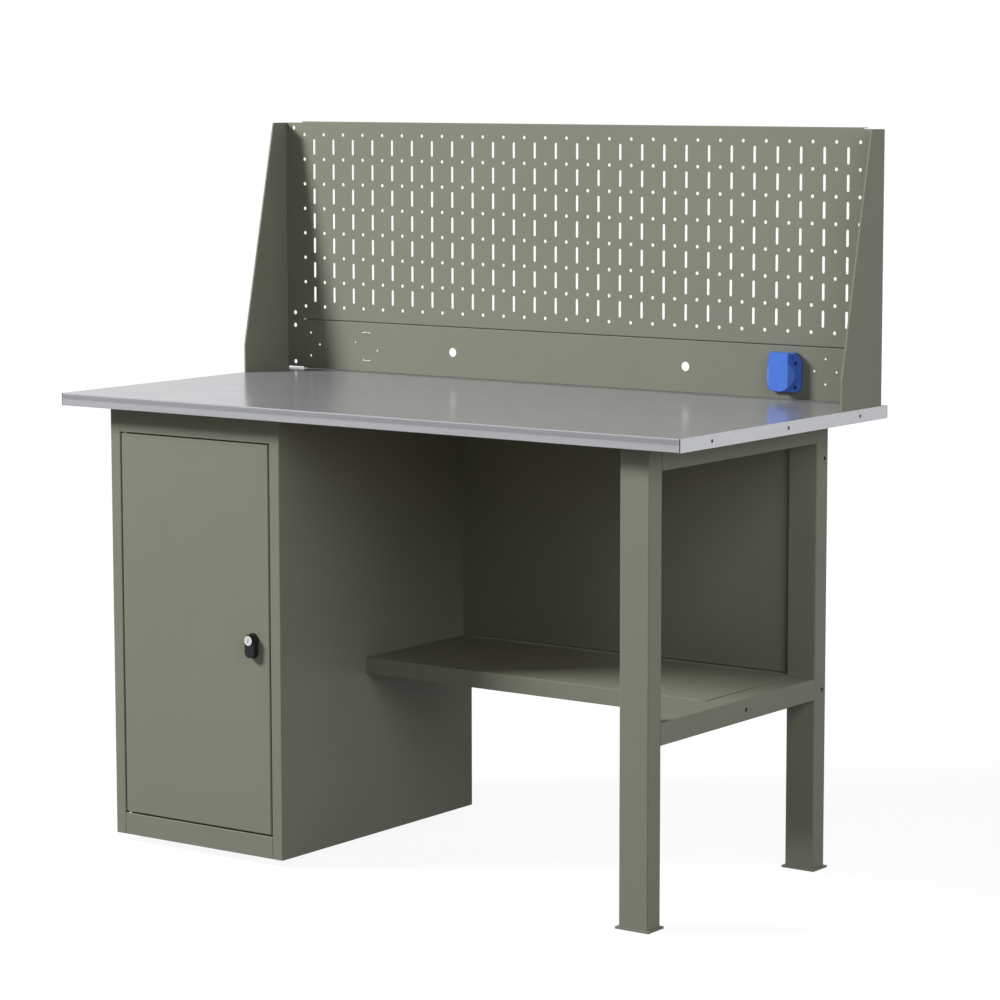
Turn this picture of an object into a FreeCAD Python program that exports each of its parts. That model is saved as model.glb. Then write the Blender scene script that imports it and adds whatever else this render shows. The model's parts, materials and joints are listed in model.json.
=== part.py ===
import FreeCAD, Part

# A steel workbench: a clad worktop on a lockable cabinet and a leg frame, with a lower shelf, a back
# panel and a perforated tool screen that carries a lidded socket.
# Millimetres. The origin is on the floor under the middle of the worktop. +X is right, +Y back, +Z up.

import math
import os
from types import SimpleNamespace

import Sketcher
from FreeCAD import Vector

doc = FreeCAD.newDocument("workbench")

SIZES = {
    # Worktop
    "worktop_width": 1400,
    "worktop_depth": 700,
    "worktop_height": 865,
    "worktop_edge": 24,
    "cladding_sheet": 1.2,
    "cladding_return": 16,
    "cladding_bend": 3,
    "end_strip_sheet": 1.5,
    "end_screw_inset": 100,
    "end_screw_radius": 2,
    "end_screw_head_radius": 3.4,
    "end_screw_length": 25,
    "worktop_screw_radius": 2.2,
    "worktop_screw_head_radius": 4.5,
    "worktop_screw_head": 3,
    "worktop_screw_length": 15,
    "worktop_screw_inset": 60,
    # Base outline under the worktop
    "side_overhang": 87,
    "front_overhang": 40,
    "rear_overhang": 64,
    # Leg frame
    "leg_width": 60,
    "leg_depth": 40,
    "leg_wall": 2,
    "leg_corner": 2.5,
    "foot_plate": 4,
    "foot_plate_margin": 4.5,
    "upper_crossbar_height": 44,
    "lower_crossbar_height": 40,
    "frame_hole_radius": 4,
    "rear_leg_hole_inset": 12,
    "rear_leg_hole_low": 338,
    "rear_leg_hole_high": 768,
    "crossbar_hole_offset": 20,
    # Lower shelf and back panel
    "shelf_top": 363,
    "shelf_sheet": 1.5,
    "shelf_lip": 32,
    "shelf_lip_return": 15,
    "shelf_front_setback": 255,
    "shelf_rear_setback": 6,
    "shelf_lap": 14,
    "shelf_bolt_inset": 45,
    "back_panel_sheet": 1.2,
    "back_panel_setback": 28,
    "back_panel_flange": 24,
    "back_panel_gap": 3,
    "back_panel_side_gap": 6,
    "back_panel_bolt_inset": 80,
    "bolt_radius": 3,
    "bolt_head_radius": 5.5,
    "bolt_head": 4,
    "bolt_end": 2,
    # Cabinet
    "cabinet_width": 414,
    "cabinet_sheet": 1.2,
    "cabinet_bend": 1.8,
    "cabinet_floor_gap": 15,
    "stile_width": 24,
    "stile_return": 22,
    "rear_return": 10,
    "plinth_height": 41.5,
    "top_rail_height": 47.7,
    "plinth_seam": 0.6,
    "floor_flange": 20,
    "top_flange": 20,
    "inner_shelf_height": 380,
    "inner_shelf_lip": 25,
    "inner_shelf_setback": 50,
    "inner_shelf_side_gap": 1,
    "shelf_peg_radius": 2.5,
    "shelf_peg_head_radius": 4,
    "shelf_peg_head": 10,
    "shelf_peg_inset": 60,
    # Cabinet feet
    "foot_rail_width": 50,
    "foot_rail_flange": 25,
    "foot_rail_sheet": 2,
    "foot_rail_inset": 90,
    "foot_inset": 75,
    "foot_pad_radius": 16,
    "foot_pad_top_radius": 13,
    "foot_pad_height": 9,
    "foot_neck_radius": 8,
    "foot_stud_radius": 4,
    "foot_stud_length": 18,
    # Door and hinges
    "door_gap": 3,
    "door_sheet": 1.2,
    "door_depth": 18,
    "door_bend": 2,
    "hinge_inset": 7,
    "hinge_setback": 6,
    "hinge_pin_radius": 3,
    "hinge_pin_head_radius": 4.5,
    "hinge_pin_head": 3,
    "hinge_pin_reach": 8,
    "hinge_collar": 1.6,
    "bush_radius": 4.4,
    "bush_flange_radius": 5.2,
    "bush_flange": 1,
    "bush_height": 7,
    # Lock
    "lock_inset": 39,
    "lock_base_radius": 13,
    "lock_centres": 22,
    "lock_reach": 12,
    "lock_taper": 9.5,
    "lock_barrel_radius": 9.5,
    "lock_barrel_length": 25,
    "lock_nut_radius": 13.5,
    "lock_nut_height": 5,
    "plug_radius": 6,
    "plug_face_radius": 9,
    "plug_face": 2.6,
    "key_slot_width": 1.8,
    "key_slot_height": 9,
    "key_slot_depth": 2,
    "cam_length": 58,
    "cam_width": 16,
    "cam_sheet": 2,
    "cam_screw_radius": 2.5,
    "cam_screw_head_radius": 4.5,
    "cam_screw_head": 3,
    "cam_screw_length": 10,
    # Tool screen
    "screen_setback": 24,
    "screen_sheet": 1.2,
    "screen_return": 15,
    "screen_bend": 2,
    "screen_gap": 1,
    "screen_end_gap": 0.5,
    "strip_height": 100,
    "panel_height": 403,
    "ear_width": 37.5,
    "ear_drop": 2.5,
    "ear_hole_radius": 4.5,
    "ear_hole_inset": 18,
    "ear_hole_drop": 12.5,
    "relief_radius": 2.5,
    "peg_pitch": 50,
    "peg_hole_radius": 3.7,
    "peg_slot_width": 6,
    "peg_slot_height": 32,
    "bracket_sheet": 1.5,
    "bracket_flange": 40,
    "bracket_top_depth": 45,
    "bracket_foot_depth": 142,
    "bracket_knee": 57,
    "bracket_hem": 10,
    "bracket_hem_sheet": 2,
    # Socket strip openings
    "cable_hole_radius": 9,
    "cable_hole_spacing": 550,
    "diamond_pitch_radius": 23.5,
    "diamond_hole_radius": 2.2,
    "left_diamond_inset": 59,
    "right_diamond_inset": 115,
    "left_diamond_height": 50,
    "right_diamond_height": 55.5,
    "knockout_pitch_radius": 29,
    "knockout_hole_radius": 2,
    "knockout_offset": 493.5,
    "knockout_height": 51.5,
    "socket_offset": 497.5,
    "socket_height": 46.5,
    # Socket
    "gasket_sheet": 1,
    "socket_flange_width": 70,
    "socket_flange_drop": 31.5,
    "socket_flange_rise": 41.5,
    "socket_flange_top_width": 42,
    "socket_flange_chamfer": 13,
    "socket_flange_sheet": 8,
    "socket_corner": 11,
    "socket_screw_spacing_across": 50,
    "socket_screw_spacing_up": 45,
    "socket_screw_radius": 1.7,
    "socket_screw_head_radius": 3,
    "socket_screw_head": 2.2,
    "socket_screw_recess": 5,
    "socket_screw_length": 9,
    "socket_body_radius": 26.5,
    "socket_body_reach": 20,
    "socket_back": 2,
    "socket_collar_radius": 23,
    "socket_collar": 5,
    "socket_bore_radius": 19.5,
    "socket_recess": 15,
    "insert_height": 8,
    "pin_hole_radius": 2.6,
    "pin_hole_spacing": 19,
    "contact_wall": 0.8,
    "contact_length": 9,
    "earth_clip_sheet": 1,
    "earth_clip_width": 6,
    "earth_clip_length": 12,
    # Socket lid
    "lid_width": 60,
    "lid_ridge_width": 40,
    "lid_ridge_rise": 22,
    "lid_reach": 18.6,
    "lid_facet": 8,
    "lid_wall": 2.4,
    "lid_hinge_height": 38,
    "lid_pin_radius": 1.5,
    "lid_pin_hang": 1,
    "lid_lug": 4,
    "lid_lug_radius": 4,
    # Clearances and overruns
    "fit_gap": 0.1,
    "running_gap": 0.05,
    "moving_gap": 0.4,
    "overrun": 5,
}

PEG_COLUMNS = 27
PEG_ROWS = 8
HEX_SIDES = 6
KNOCKOUT_TURN = -15


# Sizes kept in the sheet, each with its value and the expression that leads back to its cell
class Size:
    def __init__(self, value, text):
        self.value = value
        self.text = text

    def joined(self, sign, other, value):
        return Size(value, f"({self.text} {sign} {as_size(other).text})")

    def __add__(self, other):
        return self.joined("+", other, self.value + as_size(other).value)

    def __sub__(self, other):
        return self.joined("-", other, self.value - as_size(other).value)

    def __mul__(self, factor):
        return self.joined("*", factor, self.value * as_size(factor).value)

    def __truediv__(self, divisor):
        return self.joined("/", divisor, self.value / as_size(divisor).value)

    def __neg__(self):
        return Size(-self.value, f"(0 - {self.text})")


def as_size(amount):
    return amount if isinstance(amount, Size) else Size(amount, repr(amount))


def fill_sheet(sizes):
    sheet = doc.addObject("Spreadsheet::Sheet", "Sizes")
    for row, (name, value) in enumerate(sizes.items(), 1):
        sheet.set(f"A{row}", name)
        sheet.set(f"B{row}", str(value))
        sheet.setAlias(f"B{row}", name)
    doc.recompute()
    return SimpleNamespace(**{name: Size(value, f"Sizes.{name}") for name, value in sizes.items()})


d = fill_sheet(SIZES)
zero = Size(0, "0")
parts = []


# Sketches, pads and pockets whose sizes follow the sheet
PLANE_DIRECTION = {"XY_Plane": 1, "XZ_Plane": -1, "YZ_Plane": 1}


def new_body(label):
    body = doc.addObject("PartDesign::Body", label)
    body.Label = label
    parts.append(body)
    return body


def sketch_on(body, plane, level):
    sketch = body.newObject("Sketcher::SketchObject", f"{body.Label}_outline")
    support = next(item for item in body.Origin.OriginFeatures if item.Role == plane)
    sketch.AttachmentSupport = [(support, "")]
    sketch.MapMode = "FlatFace"
    sketch.setExpression("AttachmentOffset.Base.z", (level * PLANE_DIRECTION[plane]).text)
    return sketch


def hold(sketch, kinds):
    """Add (constraint, size) pairs and bind each sized one to its expression."""
    indices = sketch.addConstraint([constraint for constraint, _ in kinds])
    for index, (_, size) in zip(indices, kinds):
        if size is not None:
            sketch.setExpression(f"Constraints[{index}]", size.text)


def at_point(curve, end, across, up):
    pair = (("DistanceX", as_size(across)), ("DistanceY", as_size(up)))
    return [(Sketcher.Constraint(kind, -1, 1, curve, end, size.value), size) for kind, size in pair]


def polygon(corners):
    def draw(sketch):
        points = [Vector(as_size(across).value, as_size(up).value, 0) for across, up in corners]
        first = sketch.GeometryCount
        count = len(corners)
        sides = [Part.LineSegment(points[i], points[(i + 1) % count]) for i in range(count)]
        sketch.addGeometry(sides, False)
        kinds = []
        for i, (across, up) in enumerate(corners):
            follower = first + (i + 1) % count
            kinds.append((Sketcher.Constraint("Coincident", first + i, 2, follower, 1), None))
            kinds += at_point(first + i, 1, across, up)
        hold(sketch, kinds)

    return draw


def rectangle(left, right, low, high):
    return polygon([(left, low), (right, low), (right, high), (left, high)])


def circles(centres, radius):
    def draw(sketch):
        for across, up in centres:
            middle = Vector(as_size(across).value, as_size(up).value, 0)
            curve = sketch.addGeometry(Part.Circle(middle, Vector(0, 0, 1), radius.value), False)
            kinds = at_point(curve, 3, across, up)
            kinds.append((Sketcher.Constraint("Radius", curve, radius.value), radius))
            hold(sketch, kinds)

    return draw


def regular_polygon(across, up, radius, sides):
    turns = [2 * math.pi * i / sides for i in range(sides)]
    return polygon([(across + radius * math.cos(turn), up + radius * math.sin(turn)) for turn in turns])


def domed(corners, middle_across, middle_up):
    """A polygon whose last side is an arc about the given middle, bulging downwards."""

    def draw(sketch):
        points = [Vector(across.value, up.value, 0) for across, up in corners]
        middle = Vector(middle_across.value, middle_up.value, 0)
        last = len(corners) - 1
        sides = [Part.LineSegment(points[i], points[i + 1]) for i in range(last)]
        first_spoke = points[0] - middle
        last_spoke = points[-1] - middle
        start = math.atan2(last_spoke.y, last_spoke.x)
        end = math.atan2(first_spoke.y, first_spoke.x) + 2 * math.pi
        round_side = Part.Circle(middle, Vector(0, 0, 1), first_spoke.Length)
        sides.append(Part.ArcOfCircle(round_side, start, end))
        sketch.addGeometry(sides, False)
        kinds = []
        for i, (across, up) in enumerate(corners):
            kinds.append((Sketcher.Constraint("Coincident", i, 2, (i + 1) % len(sides), 1), None))
            kinds += at_point(i, 1, across, up)
        kinds.append(at_point(last, 3, middle_across, middle_up)[1])
        hold(sketch, kinds)

    return draw


def obround(across, low, high, radius):
    """Two half circles about a low and a high centre, joined by upright sides."""

    def draw(sketch):
        axis = Vector(0, 0, 1)
        top = Part.Circle(Vector(across.value, high.value, 0), axis, radius.value)
        bottom = Part.Circle(Vector(across.value, low.value, 0), axis, radius.value)
        left = across.value - radius.value
        right = across.value + radius.value
        sketch.addGeometry(
            [
                Part.ArcOfCircle(top, 0, math.pi),
                Part.LineSegment(Vector(left, high.value, 0), Vector(left, low.value, 0)),
                Part.ArcOfCircle(bottom, math.pi, 2 * math.pi),
                Part.LineSegment(Vector(right, low.value, 0), Vector(right, high.value, 0)),
            ],
            False,
        )
        kinds = [(Sketcher.Constraint("Tangent", i, 2, (i + 1) % 4, 1), None) for i in range(4)]
        kinds += at_point(0, 3, across, high)
        kinds += at_point(2, 3, across, low)
        kinds.append((Sketcher.Constraint("Radius", 0, radius.value), radius))
        hold(sketch, kinds)

    return draw


def extrude(body, kind, plane, draw, low, high):
    along_plane = PLANE_DIRECTION[plane] > 0
    sketch = sketch_on(body, plane, low if (kind == "Pad") == along_plane else high)
    draw(sketch)
    feature = body.newObject(f"PartDesign::{kind}", f"{body.Label}_{kind.lower()}")
    feature.Profile = sketch
    feature.setExpression("Length", (high - low).text)
    return feature


def pad(body, plane, draw, low, high):
    return extrude(body, "Pad", plane, draw, low, high)


def pocket(body, plane, draw, low, high):
    return extrude(body, "Pocket", plane, draw, low, high)


def revolve(label, profile, across, back, up, tilt=0):
    """A turned piece about its own upright axis, set at a point and tilted about X."""
    body = new_body(label)
    sketch = sketch_on(body, "XZ_Plane", zero)
    polygon(profile)(sketch)
    feature = body.newObject("PartDesign::Revolution", f"{label}_turned")
    feature.Profile = sketch
    feature.ReferenceAxis = (sketch, ["V_Axis"])
    feature.Angle = 360
    body.Placement = FreeCAD.Placement(Vector(), FreeCAD.Rotation(Vector(1, 0, 0), tilt))
    for axis, size in (("x", across), ("y", back), ("z", up)):
        body.setExpression(f"Placement.Base.{axis}", as_size(size).text)
    return body


def lies_at(edge, **place):
    """Whether both ends of an edge have the given coordinates."""
    return all(
        abs(getattr(vertex.Point, axis) - size.value) < 1e-6
        for vertex in edge.Vertexes
        for axis, size in place.items()
    )


def dress(body, kind, size_name, size, wanted):
    """Fillet or chamfer the edges of the last feature that the test accepts."""
    body.recompute(True)
    base = body.Tip
    edges = enumerate(base.Shape.Edges, 1)
    names = [f"Edge{number}" for number, edge in edges if wanted(edge)]
    feature = body.newObject(f"PartDesign::{kind}", f"{body.Label}_{kind.lower()}")
    feature.Base = (base, names)
    feature.setExpression(size_name, size.text)


def round_edges(body, radius, *places):
    dress(body, "Fillet", "Radius", radius, lambda edge: any(lies_at(edge, **place) for place in places))


def group(label, shapes):
    feature = doc.addObject("Part::Feature", label)
    feature.Label = label
    feature.Shape = Part.makeCompound(shapes)
    parts.append(feature)


def rod(start, direction, radius, length):
    return Part.makeCylinder(radius.value, length.value, start, direction)


def hex_prism(start, direction, radius, length):
    turns = [2 * math.pi * i / HEX_SIDES for i in range(HEX_SIDES + 1)]
    wire = Part.makePolygon([Vector(math.cos(turn), math.sin(turn), 0) * radius.value for turn in turns])
    solid = Part.Face(wire).extrude(Vector(0, 0, length.value))
    solid.Placement = FreeCAD.Placement(start, FreeCAD.Rotation(Vector(0, 0, 1), direction))
    return solid


def point(across, back, up):
    return Vector(as_size(across).value, as_size(back).value, as_size(up).value)


def spread(side, near, far):
    """The span from near to far on the right, or its mirror image on the left."""
    return (near, far) if side > 0 else (-far, -near)


# Places that several pieces share
half_width = d.worktop_width / 2
half_depth = d.worktop_depth / 2
board_end = half_width - d.end_strip_sheet
worktop_bottom = d.worktop_height - d.worktop_edge
board_bottom = worktop_bottom + d.cladding_sheet
board_top = d.worktop_height - d.cladding_sheet
edge_middle = d.worktop_height - d.worktop_edge / 2

base_left = d.side_overhang - half_width
base_right = half_width - d.side_overhang
base_front = d.front_overhang - half_depth
base_rear = half_depth - d.rear_overhang
leg_inner = base_right - d.leg_width
leg_middle = base_right - d.leg_width / 2
front_leg_rear = base_front + d.leg_depth
rear_leg_front = base_rear - d.leg_depth
crossbar_top = d.shelf_top - d.shelf_sheet
crossbar_bottom = crossbar_top - d.lower_crossbar_height
upper_crossbar_bottom = board_bottom - d.upper_crossbar_height
frame_middle = (base_front + base_rear) / 2

cabinet_right = base_left + d.cabinet_width
cabinet_inner_left = base_left + d.cabinet_sheet
cabinet_inner_right = cabinet_right - d.cabinet_sheet
cabinet_bottom = d.cabinet_floor_gap
cabinet_floor_top = cabinet_bottom + d.plinth_height
cabinet_floor_under = cabinet_floor_top - d.cabinet_sheet
opening_left = base_left + d.stile_width
opening_right = cabinet_right - d.stile_width
opening_top = board_bottom - d.top_rail_height
stile_rear = base_front + d.stile_return
face_rear = base_front + d.cabinet_sheet
cabinet_back_rear = base_rear - d.cabinet_sheet
cabinet_back_front = cabinet_back_rear - d.cabinet_sheet
inner_shelf_under = d.inner_shelf_height - d.cabinet_sheet
shelf_peg_up = inner_shelf_under - d.shelf_peg_head_radius
inner_shelf_front = base_front + d.inner_shelf_setback
shelf_peg_backs = (inner_shelf_front + d.shelf_peg_inset, cabinet_back_front - d.shelf_peg_inset)

shelf_front = base_front + d.shelf_front_setback
shelf_rear = base_rear - d.shelf_rear_setback
shelf_bottom = d.shelf_top - d.shelf_lip
shelf_bolt_up = d.shelf_top - d.shelf_lip / 2
shelf_bolt_backs = (shelf_front + d.shelf_bolt_inset, shelf_rear - d.shelf_bolt_inset)
back_panel_front = base_rear - d.back_panel_setback
back_panel_rear = back_panel_front + d.back_panel_flange
back_panel_bottom = d.shelf_top + d.back_panel_gap
back_panel_right = leg_inner - d.back_panel_side_gap
back_panel_bolt_back = back_panel_front + d.back_panel_flange / 2
back_panel_bolt_ups = (back_panel_bottom + d.back_panel_bolt_inset, board_bottom - d.back_panel_bolt_inset)

door_left = opening_left + d.door_gap
door_right = opening_right - d.door_gap
door_bottom = cabinet_floor_top + d.door_gap
door_top = opening_top - d.door_gap
door_inner = base_front + d.door_sheet
door_rear = base_front + d.door_depth
hinge_across = door_left + d.hinge_inset
hinge_back = base_front + d.hinge_setback

lock_across = door_right - d.lock_inset
lock_up = (door_bottom + door_top) / 2
lock_front = base_front - d.lock_reach
lock_barrel_rear = base_front + d.lock_barrel_length
plug_face_rear = lock_front - d.moving_gap
plug_face_front = plug_face_rear - d.plug_face
cam_front = lock_barrel_rear + d.moving_gap
cam_rear = cam_front + d.cam_sheet

screen_front = half_depth - d.screen_setback
screen_rear = screen_front + d.screen_sheet
screen_return_rear = screen_front + d.screen_return
bracket_inner = board_end - d.bracket_sheet
bracket_rear = screen_rear + d.bracket_sheet
bracket_foot = bracket_rear - d.bracket_foot_depth
screen_end = bracket_inner - d.screen_end_gap
return_end = screen_end - d.ear_width
ear_hole_across = screen_end - d.ear_hole_inset
strip_bottom = d.worktop_height + d.screen_gap
strip_top = strip_bottom + d.strip_height
panel_bottom = strip_top + d.screen_gap
panel_top = panel_bottom + d.panel_height
bracket_top = panel_top - d.ear_drop
strip_hole_ups = (strip_bottom + d.ear_hole_drop, strip_top - d.ear_hole_drop)
panel_hole_ups = (panel_bottom + d.ear_hole_drop, panel_top - d.ear_hole_drop)

socket_up = strip_bottom + d.socket_height
gasket_front = screen_front - d.gasket_sheet
socket_face = gasket_front - d.socket_flange_sheet
collar_front = socket_face - d.socket_collar
insert_front = collar_front + d.socket_recess
insert_rear = insert_front + d.insert_height
socket_rear = screen_front + d.socket_body_reach
lid_rear = socket_face - d.moving_gap
lid_front = lid_rear - d.lid_reach
lid_pin_back = lid_rear - d.lid_lug_radius
lid_pin_up = socket_up + d.lid_hinge_height
lid_top = lid_pin_up + d.lid_lug_radius
lid_ridge = d.lid_ridge_width / 2
lug_inner = lid_ridge + d.moving_gap
lug_outer = lug_inner + d.lid_lug

worktop_screws = [
    (base_left + d.worktop_screw_inset, base_front + d.worktop_screw_inset),
    (base_left + d.worktop_screw_inset, base_rear - d.worktop_screw_inset),
    (cabinet_right - d.worktop_screw_inset, base_front + d.worktop_screw_inset),
    (cabinet_right - d.worktop_screw_inset, base_rear - d.worktop_screw_inset),
]
frame_screws = [
    (leg_middle, front_leg_rear + d.worktop_screw_inset),
    (leg_middle, rear_leg_front - d.worktop_screw_inset),
]
back_panel_screws = [
    (cabinet_right + d.worktop_screw_inset, back_panel_bolt_back),
    (back_panel_right - d.worktop_screw_inset, back_panel_bolt_back),
]
worktop_screw_hole = d.worktop_screw_radius + d.fit_gap
end_screw_reach = half_depth - d.end_screw_inset
end_screw_backs = (-end_screw_reach, zero, end_screw_reach)


# Worktop: a wooden board in a folded sheet, with a strip screwed over each end
def bracket_slots(body, low, high):
    back_gap = d.fit_gap
    for side in (-1, 1):
        left, right = spread(side, bracket_inner - d.fit_gap, board_end + d.overrun)
        slot = rectangle(left, right, bracket_foot - back_gap, bracket_rear + back_gap)
        pocket(body, "XY_Plane", slot, low, high)


def worktop_board():
    body = new_body("worktop_board")
    front = d.cladding_sheet - half_depth
    plan = rectangle(-board_end, board_end, front, -front)
    pad(body, "XY_Plane", plan, board_bottom, board_top)
    inner_bend = d.cladding_bend - d.cladding_sheet
    round_edges(body, inner_bend, {"y": front, "z": board_top}, {"y": -front, "z": board_top})
    bracket_slots(body, board_bottom, board_top)
    pilots = circles([(back, edge_middle) for back in end_screw_backs], d.end_screw_radius + d.fit_gap)
    pilot_end = half_width - d.end_screw_length - d.fit_gap
    pocket(body, "YZ_Plane", pilots, pilot_end, board_end)
    pocket(body, "YZ_Plane", pilots, -board_end, -pilot_end)
    fixings = circles(worktop_screws + frame_screws + back_panel_screws, worktop_screw_hole)
    pocket(body, "XY_Plane", fixings, board_bottom, board_bottom + d.worktop_screw_length)


def worktop_cladding():
    body = new_body("worktop_cladding")
    inner = half_depth - d.cladding_sheet
    turn = half_depth - d.cladding_return
    section = [
        (-turn, worktop_bottom),
        (-half_depth, worktop_bottom),
        (-half_depth, d.worktop_height),
        (half_depth, d.worktop_height),
        (half_depth, worktop_bottom),
        (turn, worktop_bottom),
        (turn, board_bottom),
        (inner, board_bottom),
        (inner, board_top),
        (-inner, board_top),
        (-inner, board_bottom),
        (-turn, board_bottom),
    ]
    pad(body, "YZ_Plane", polygon(section), -board_end, board_end)
    outer_edges = [{"y": y, "z": z} for y in (-half_depth, half_depth) for z in (worktop_bottom, d.worktop_height)]
    round_edges(body, d.cladding_bend, *outer_edges)
    inner_bend = d.cladding_bend - d.cladding_sheet
    round_edges(body, inner_bend, {"y": -inner, "z": board_top}, {"y": inner, "z": board_top})
    bracket_slots(body, board_top, d.worktop_height)


def end_strip(label, side):
    body = new_body(label)
    left, right = spread(side, board_end, half_width)
    plate = rectangle(-half_depth, half_depth, worktop_bottom, d.worktop_height)
    pad(body, "YZ_Plane", plate, left, right)
    holes = circles([(back, edge_middle) for back in end_screw_backs], d.end_screw_radius + d.fit_gap)
    pocket(body, "YZ_Plane", holes, left, right)
    outer_face = right if side > 0 else left
    sink = d.end_screw_head_radius - d.end_screw_radius
    dress(body, "Chamfer", "Size", sink, lambda edge: edge.isClosed() and lies_at(edge, x=outer_face))


def end_strip_screws():
    screws = []
    head = d.end_screw_head_radius - d.end_screw_radius
    for side in (-1, 1):
        inward = Vector(-side, 0, 0)
        for back in end_screw_backs:
            start = point(half_width * side, back, edge_middle)
            radii = (d.end_screw_head_radius.value, d.end_screw_radius.value)
            cone = Part.makeCone(*radii, head.value, start, inward)
            shank = rod(start, inward, d.end_screw_radius, d.end_screw_length)
            screws.append(cone.fuse(shank).removeSplitter())
    group("end_strip_screws", screws)


def worktop_fixing_screws():
    screws = []
    up = Vector(0, 0, 1)
    seats = [(board_bottom - d.cabinet_sheet, place) for place in worktop_screws]
    seats += [(board_bottom - d.leg_wall, place) for place in frame_screws]
    seats += [(board_bottom - d.back_panel_sheet, place) for place in back_panel_screws]
    tip = board_bottom + d.worktop_screw_length - d.fit_gap
    for seat, (across, back) in seats:
        start = seat - d.worktop_screw_head
        head = rod(point(across, back, start), up, d.worktop_screw_head_radius, d.worktop_screw_head)
        shank = rod(point(across, back, start), up, d.worktop_screw_radius, tip - start)
        screws.append(head.fuse(shank).removeSplitter())
    group("worktop_screws", screws)


# Leg frame: two tubes on foot plates, joined by a channel under the worktop and a tube under the shelf
def leg(label, front, rear):
    body = new_body(label)
    pad(body, "XY_Plane", rectangle(leg_inner, base_right, front, rear), d.foot_plate, board_bottom)
    corners = [{"x": x, "y": y} for x in (leg_inner, base_right) for y in (front, rear)]
    round_edges(body, d.leg_corner, *corners)
    wall = d.leg_wall
    hollow = rectangle(leg_inner + wall, base_right - wall, front + wall, rear - wall)
    pocket(body, "XY_Plane", hollow, d.foot_plate, board_bottom)
    return body


def rear_leg():
    body = leg("rear_leg", rear_leg_front, base_rear)
    hole_back = base_rear - d.rear_leg_hole_inset
    holes = circles([(hole_back, up) for up in (d.rear_leg_hole_low, d.rear_leg_hole_high)], d.frame_hole_radius)
    pocket(body, "YZ_Plane", holes, base_right - d.leg_wall, base_right)


def foot_plate(label, front, rear):
    body = new_body(label)
    margin = d.foot_plate_margin
    plan = rectangle(leg_inner - margin, base_right + margin, front - margin, rear + margin)
    pad(body, "XY_Plane", plan, zero, d.foot_plate)


def upper_crossbar():
    body = new_body("upper_crossbar")
    wall = d.leg_wall
    section = [
        (leg_inner, upper_crossbar_bottom),
        (leg_inner + wall, upper_crossbar_bottom),
        (leg_inner + wall, board_bottom - wall),
        (base_right - wall, board_bottom - wall),
        (base_right - wall, upper_crossbar_bottom),
        (base_right, upper_crossbar_bottom),
        (base_right, board_bottom),
        (leg_inner, board_bottom),
    ]
    pad(body, "XZ_Plane", polygon(section), front_leg_rear, rear_leg_front)
    pocket(body, "XY_Plane", circles(frame_screws, worktop_screw_hole), board_bottom - wall, board_bottom)


def lower_crossbar():
    body = new_body("lower_crossbar")
    outer = rectangle(leg_inner, base_right, crossbar_bottom, crossbar_top)
    pad(body, "XZ_Plane", outer, front_leg_rear, rear_leg_front)
    corners = [{"x": x, "z": z} for x in (leg_inner, base_right) for z in (crossbar_bottom, crossbar_top)]
    round_edges(body, d.leg_corner, *corners)
    wall = d.leg_wall
    hollow = rectangle(leg_inner + wall, base_right - wall, crossbar_bottom + wall, crossbar_top - wall)
    pocket(body, "XZ_Plane", hollow, front_leg_rear, rear_leg_front)
    middle = (crossbar_bottom + crossbar_top) / 2
    hole = circles([(frame_middle + d.crossbar_hole_offset, middle)], d.frame_hole_radius)
    pocket(body, "YZ_Plane", hole, base_right - wall, base_right)


# Lower shelf and back panel: folded sheets between the cabinet and the leg frame
def lower_shelf():
    body = new_body("lower_shelf")
    sheet = d.shelf_sheet
    turn = d.shelf_lip_return
    section = [
        (shelf_front, shelf_bottom),
        (shelf_front + turn, shelf_bottom),
        (shelf_front + turn, shelf_bottom + sheet),
        (shelf_front + sheet, shelf_bottom + sheet),
        (shelf_front + sheet, crossbar_top),
        (shelf_rear - sheet, crossbar_top),
        (shelf_rear - sheet, shelf_bottom + sheet),
        (shelf_rear - turn, shelf_bottom + sheet),
        (shelf_rear - turn, shelf_bottom),
        (shelf_rear, shelf_bottom),
        (shelf_rear, d.shelf_top),
        (shelf_front, d.shelf_top),
    ]
    body_end = leg_inner - d.moving_gap
    pad(body, "YZ_Plane", polygon(section), cabinet_right, body_end)
    bends = [{"y": y, "z": z} for y in (shelf_front, shelf_rear) for z in (shelf_bottom, d.shelf_top)]
    round_edges(body, d.cabinet_bend, *bends)
    flange = rectangle(shelf_front + sheet, shelf_rear - sheet, shelf_bottom + sheet, crossbar_top)
    pad(body, "YZ_Plane", flange, cabinet_right, cabinet_right + sheet)
    lap_rear = rear_leg_front - d.moving_gap
    lap = rectangle(body_end, leg_inner + d.shelf_lap, shelf_front, lap_rear)
    pad(body, "XY_Plane", lap, crossbar_top, d.shelf_top)
    holes = circles([(back, shelf_bolt_up) for back in shelf_bolt_backs], d.bolt_radius + d.fit_gap)
    pocket(body, "YZ_Plane", holes, cabinet_right, cabinet_right + sheet)


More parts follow.
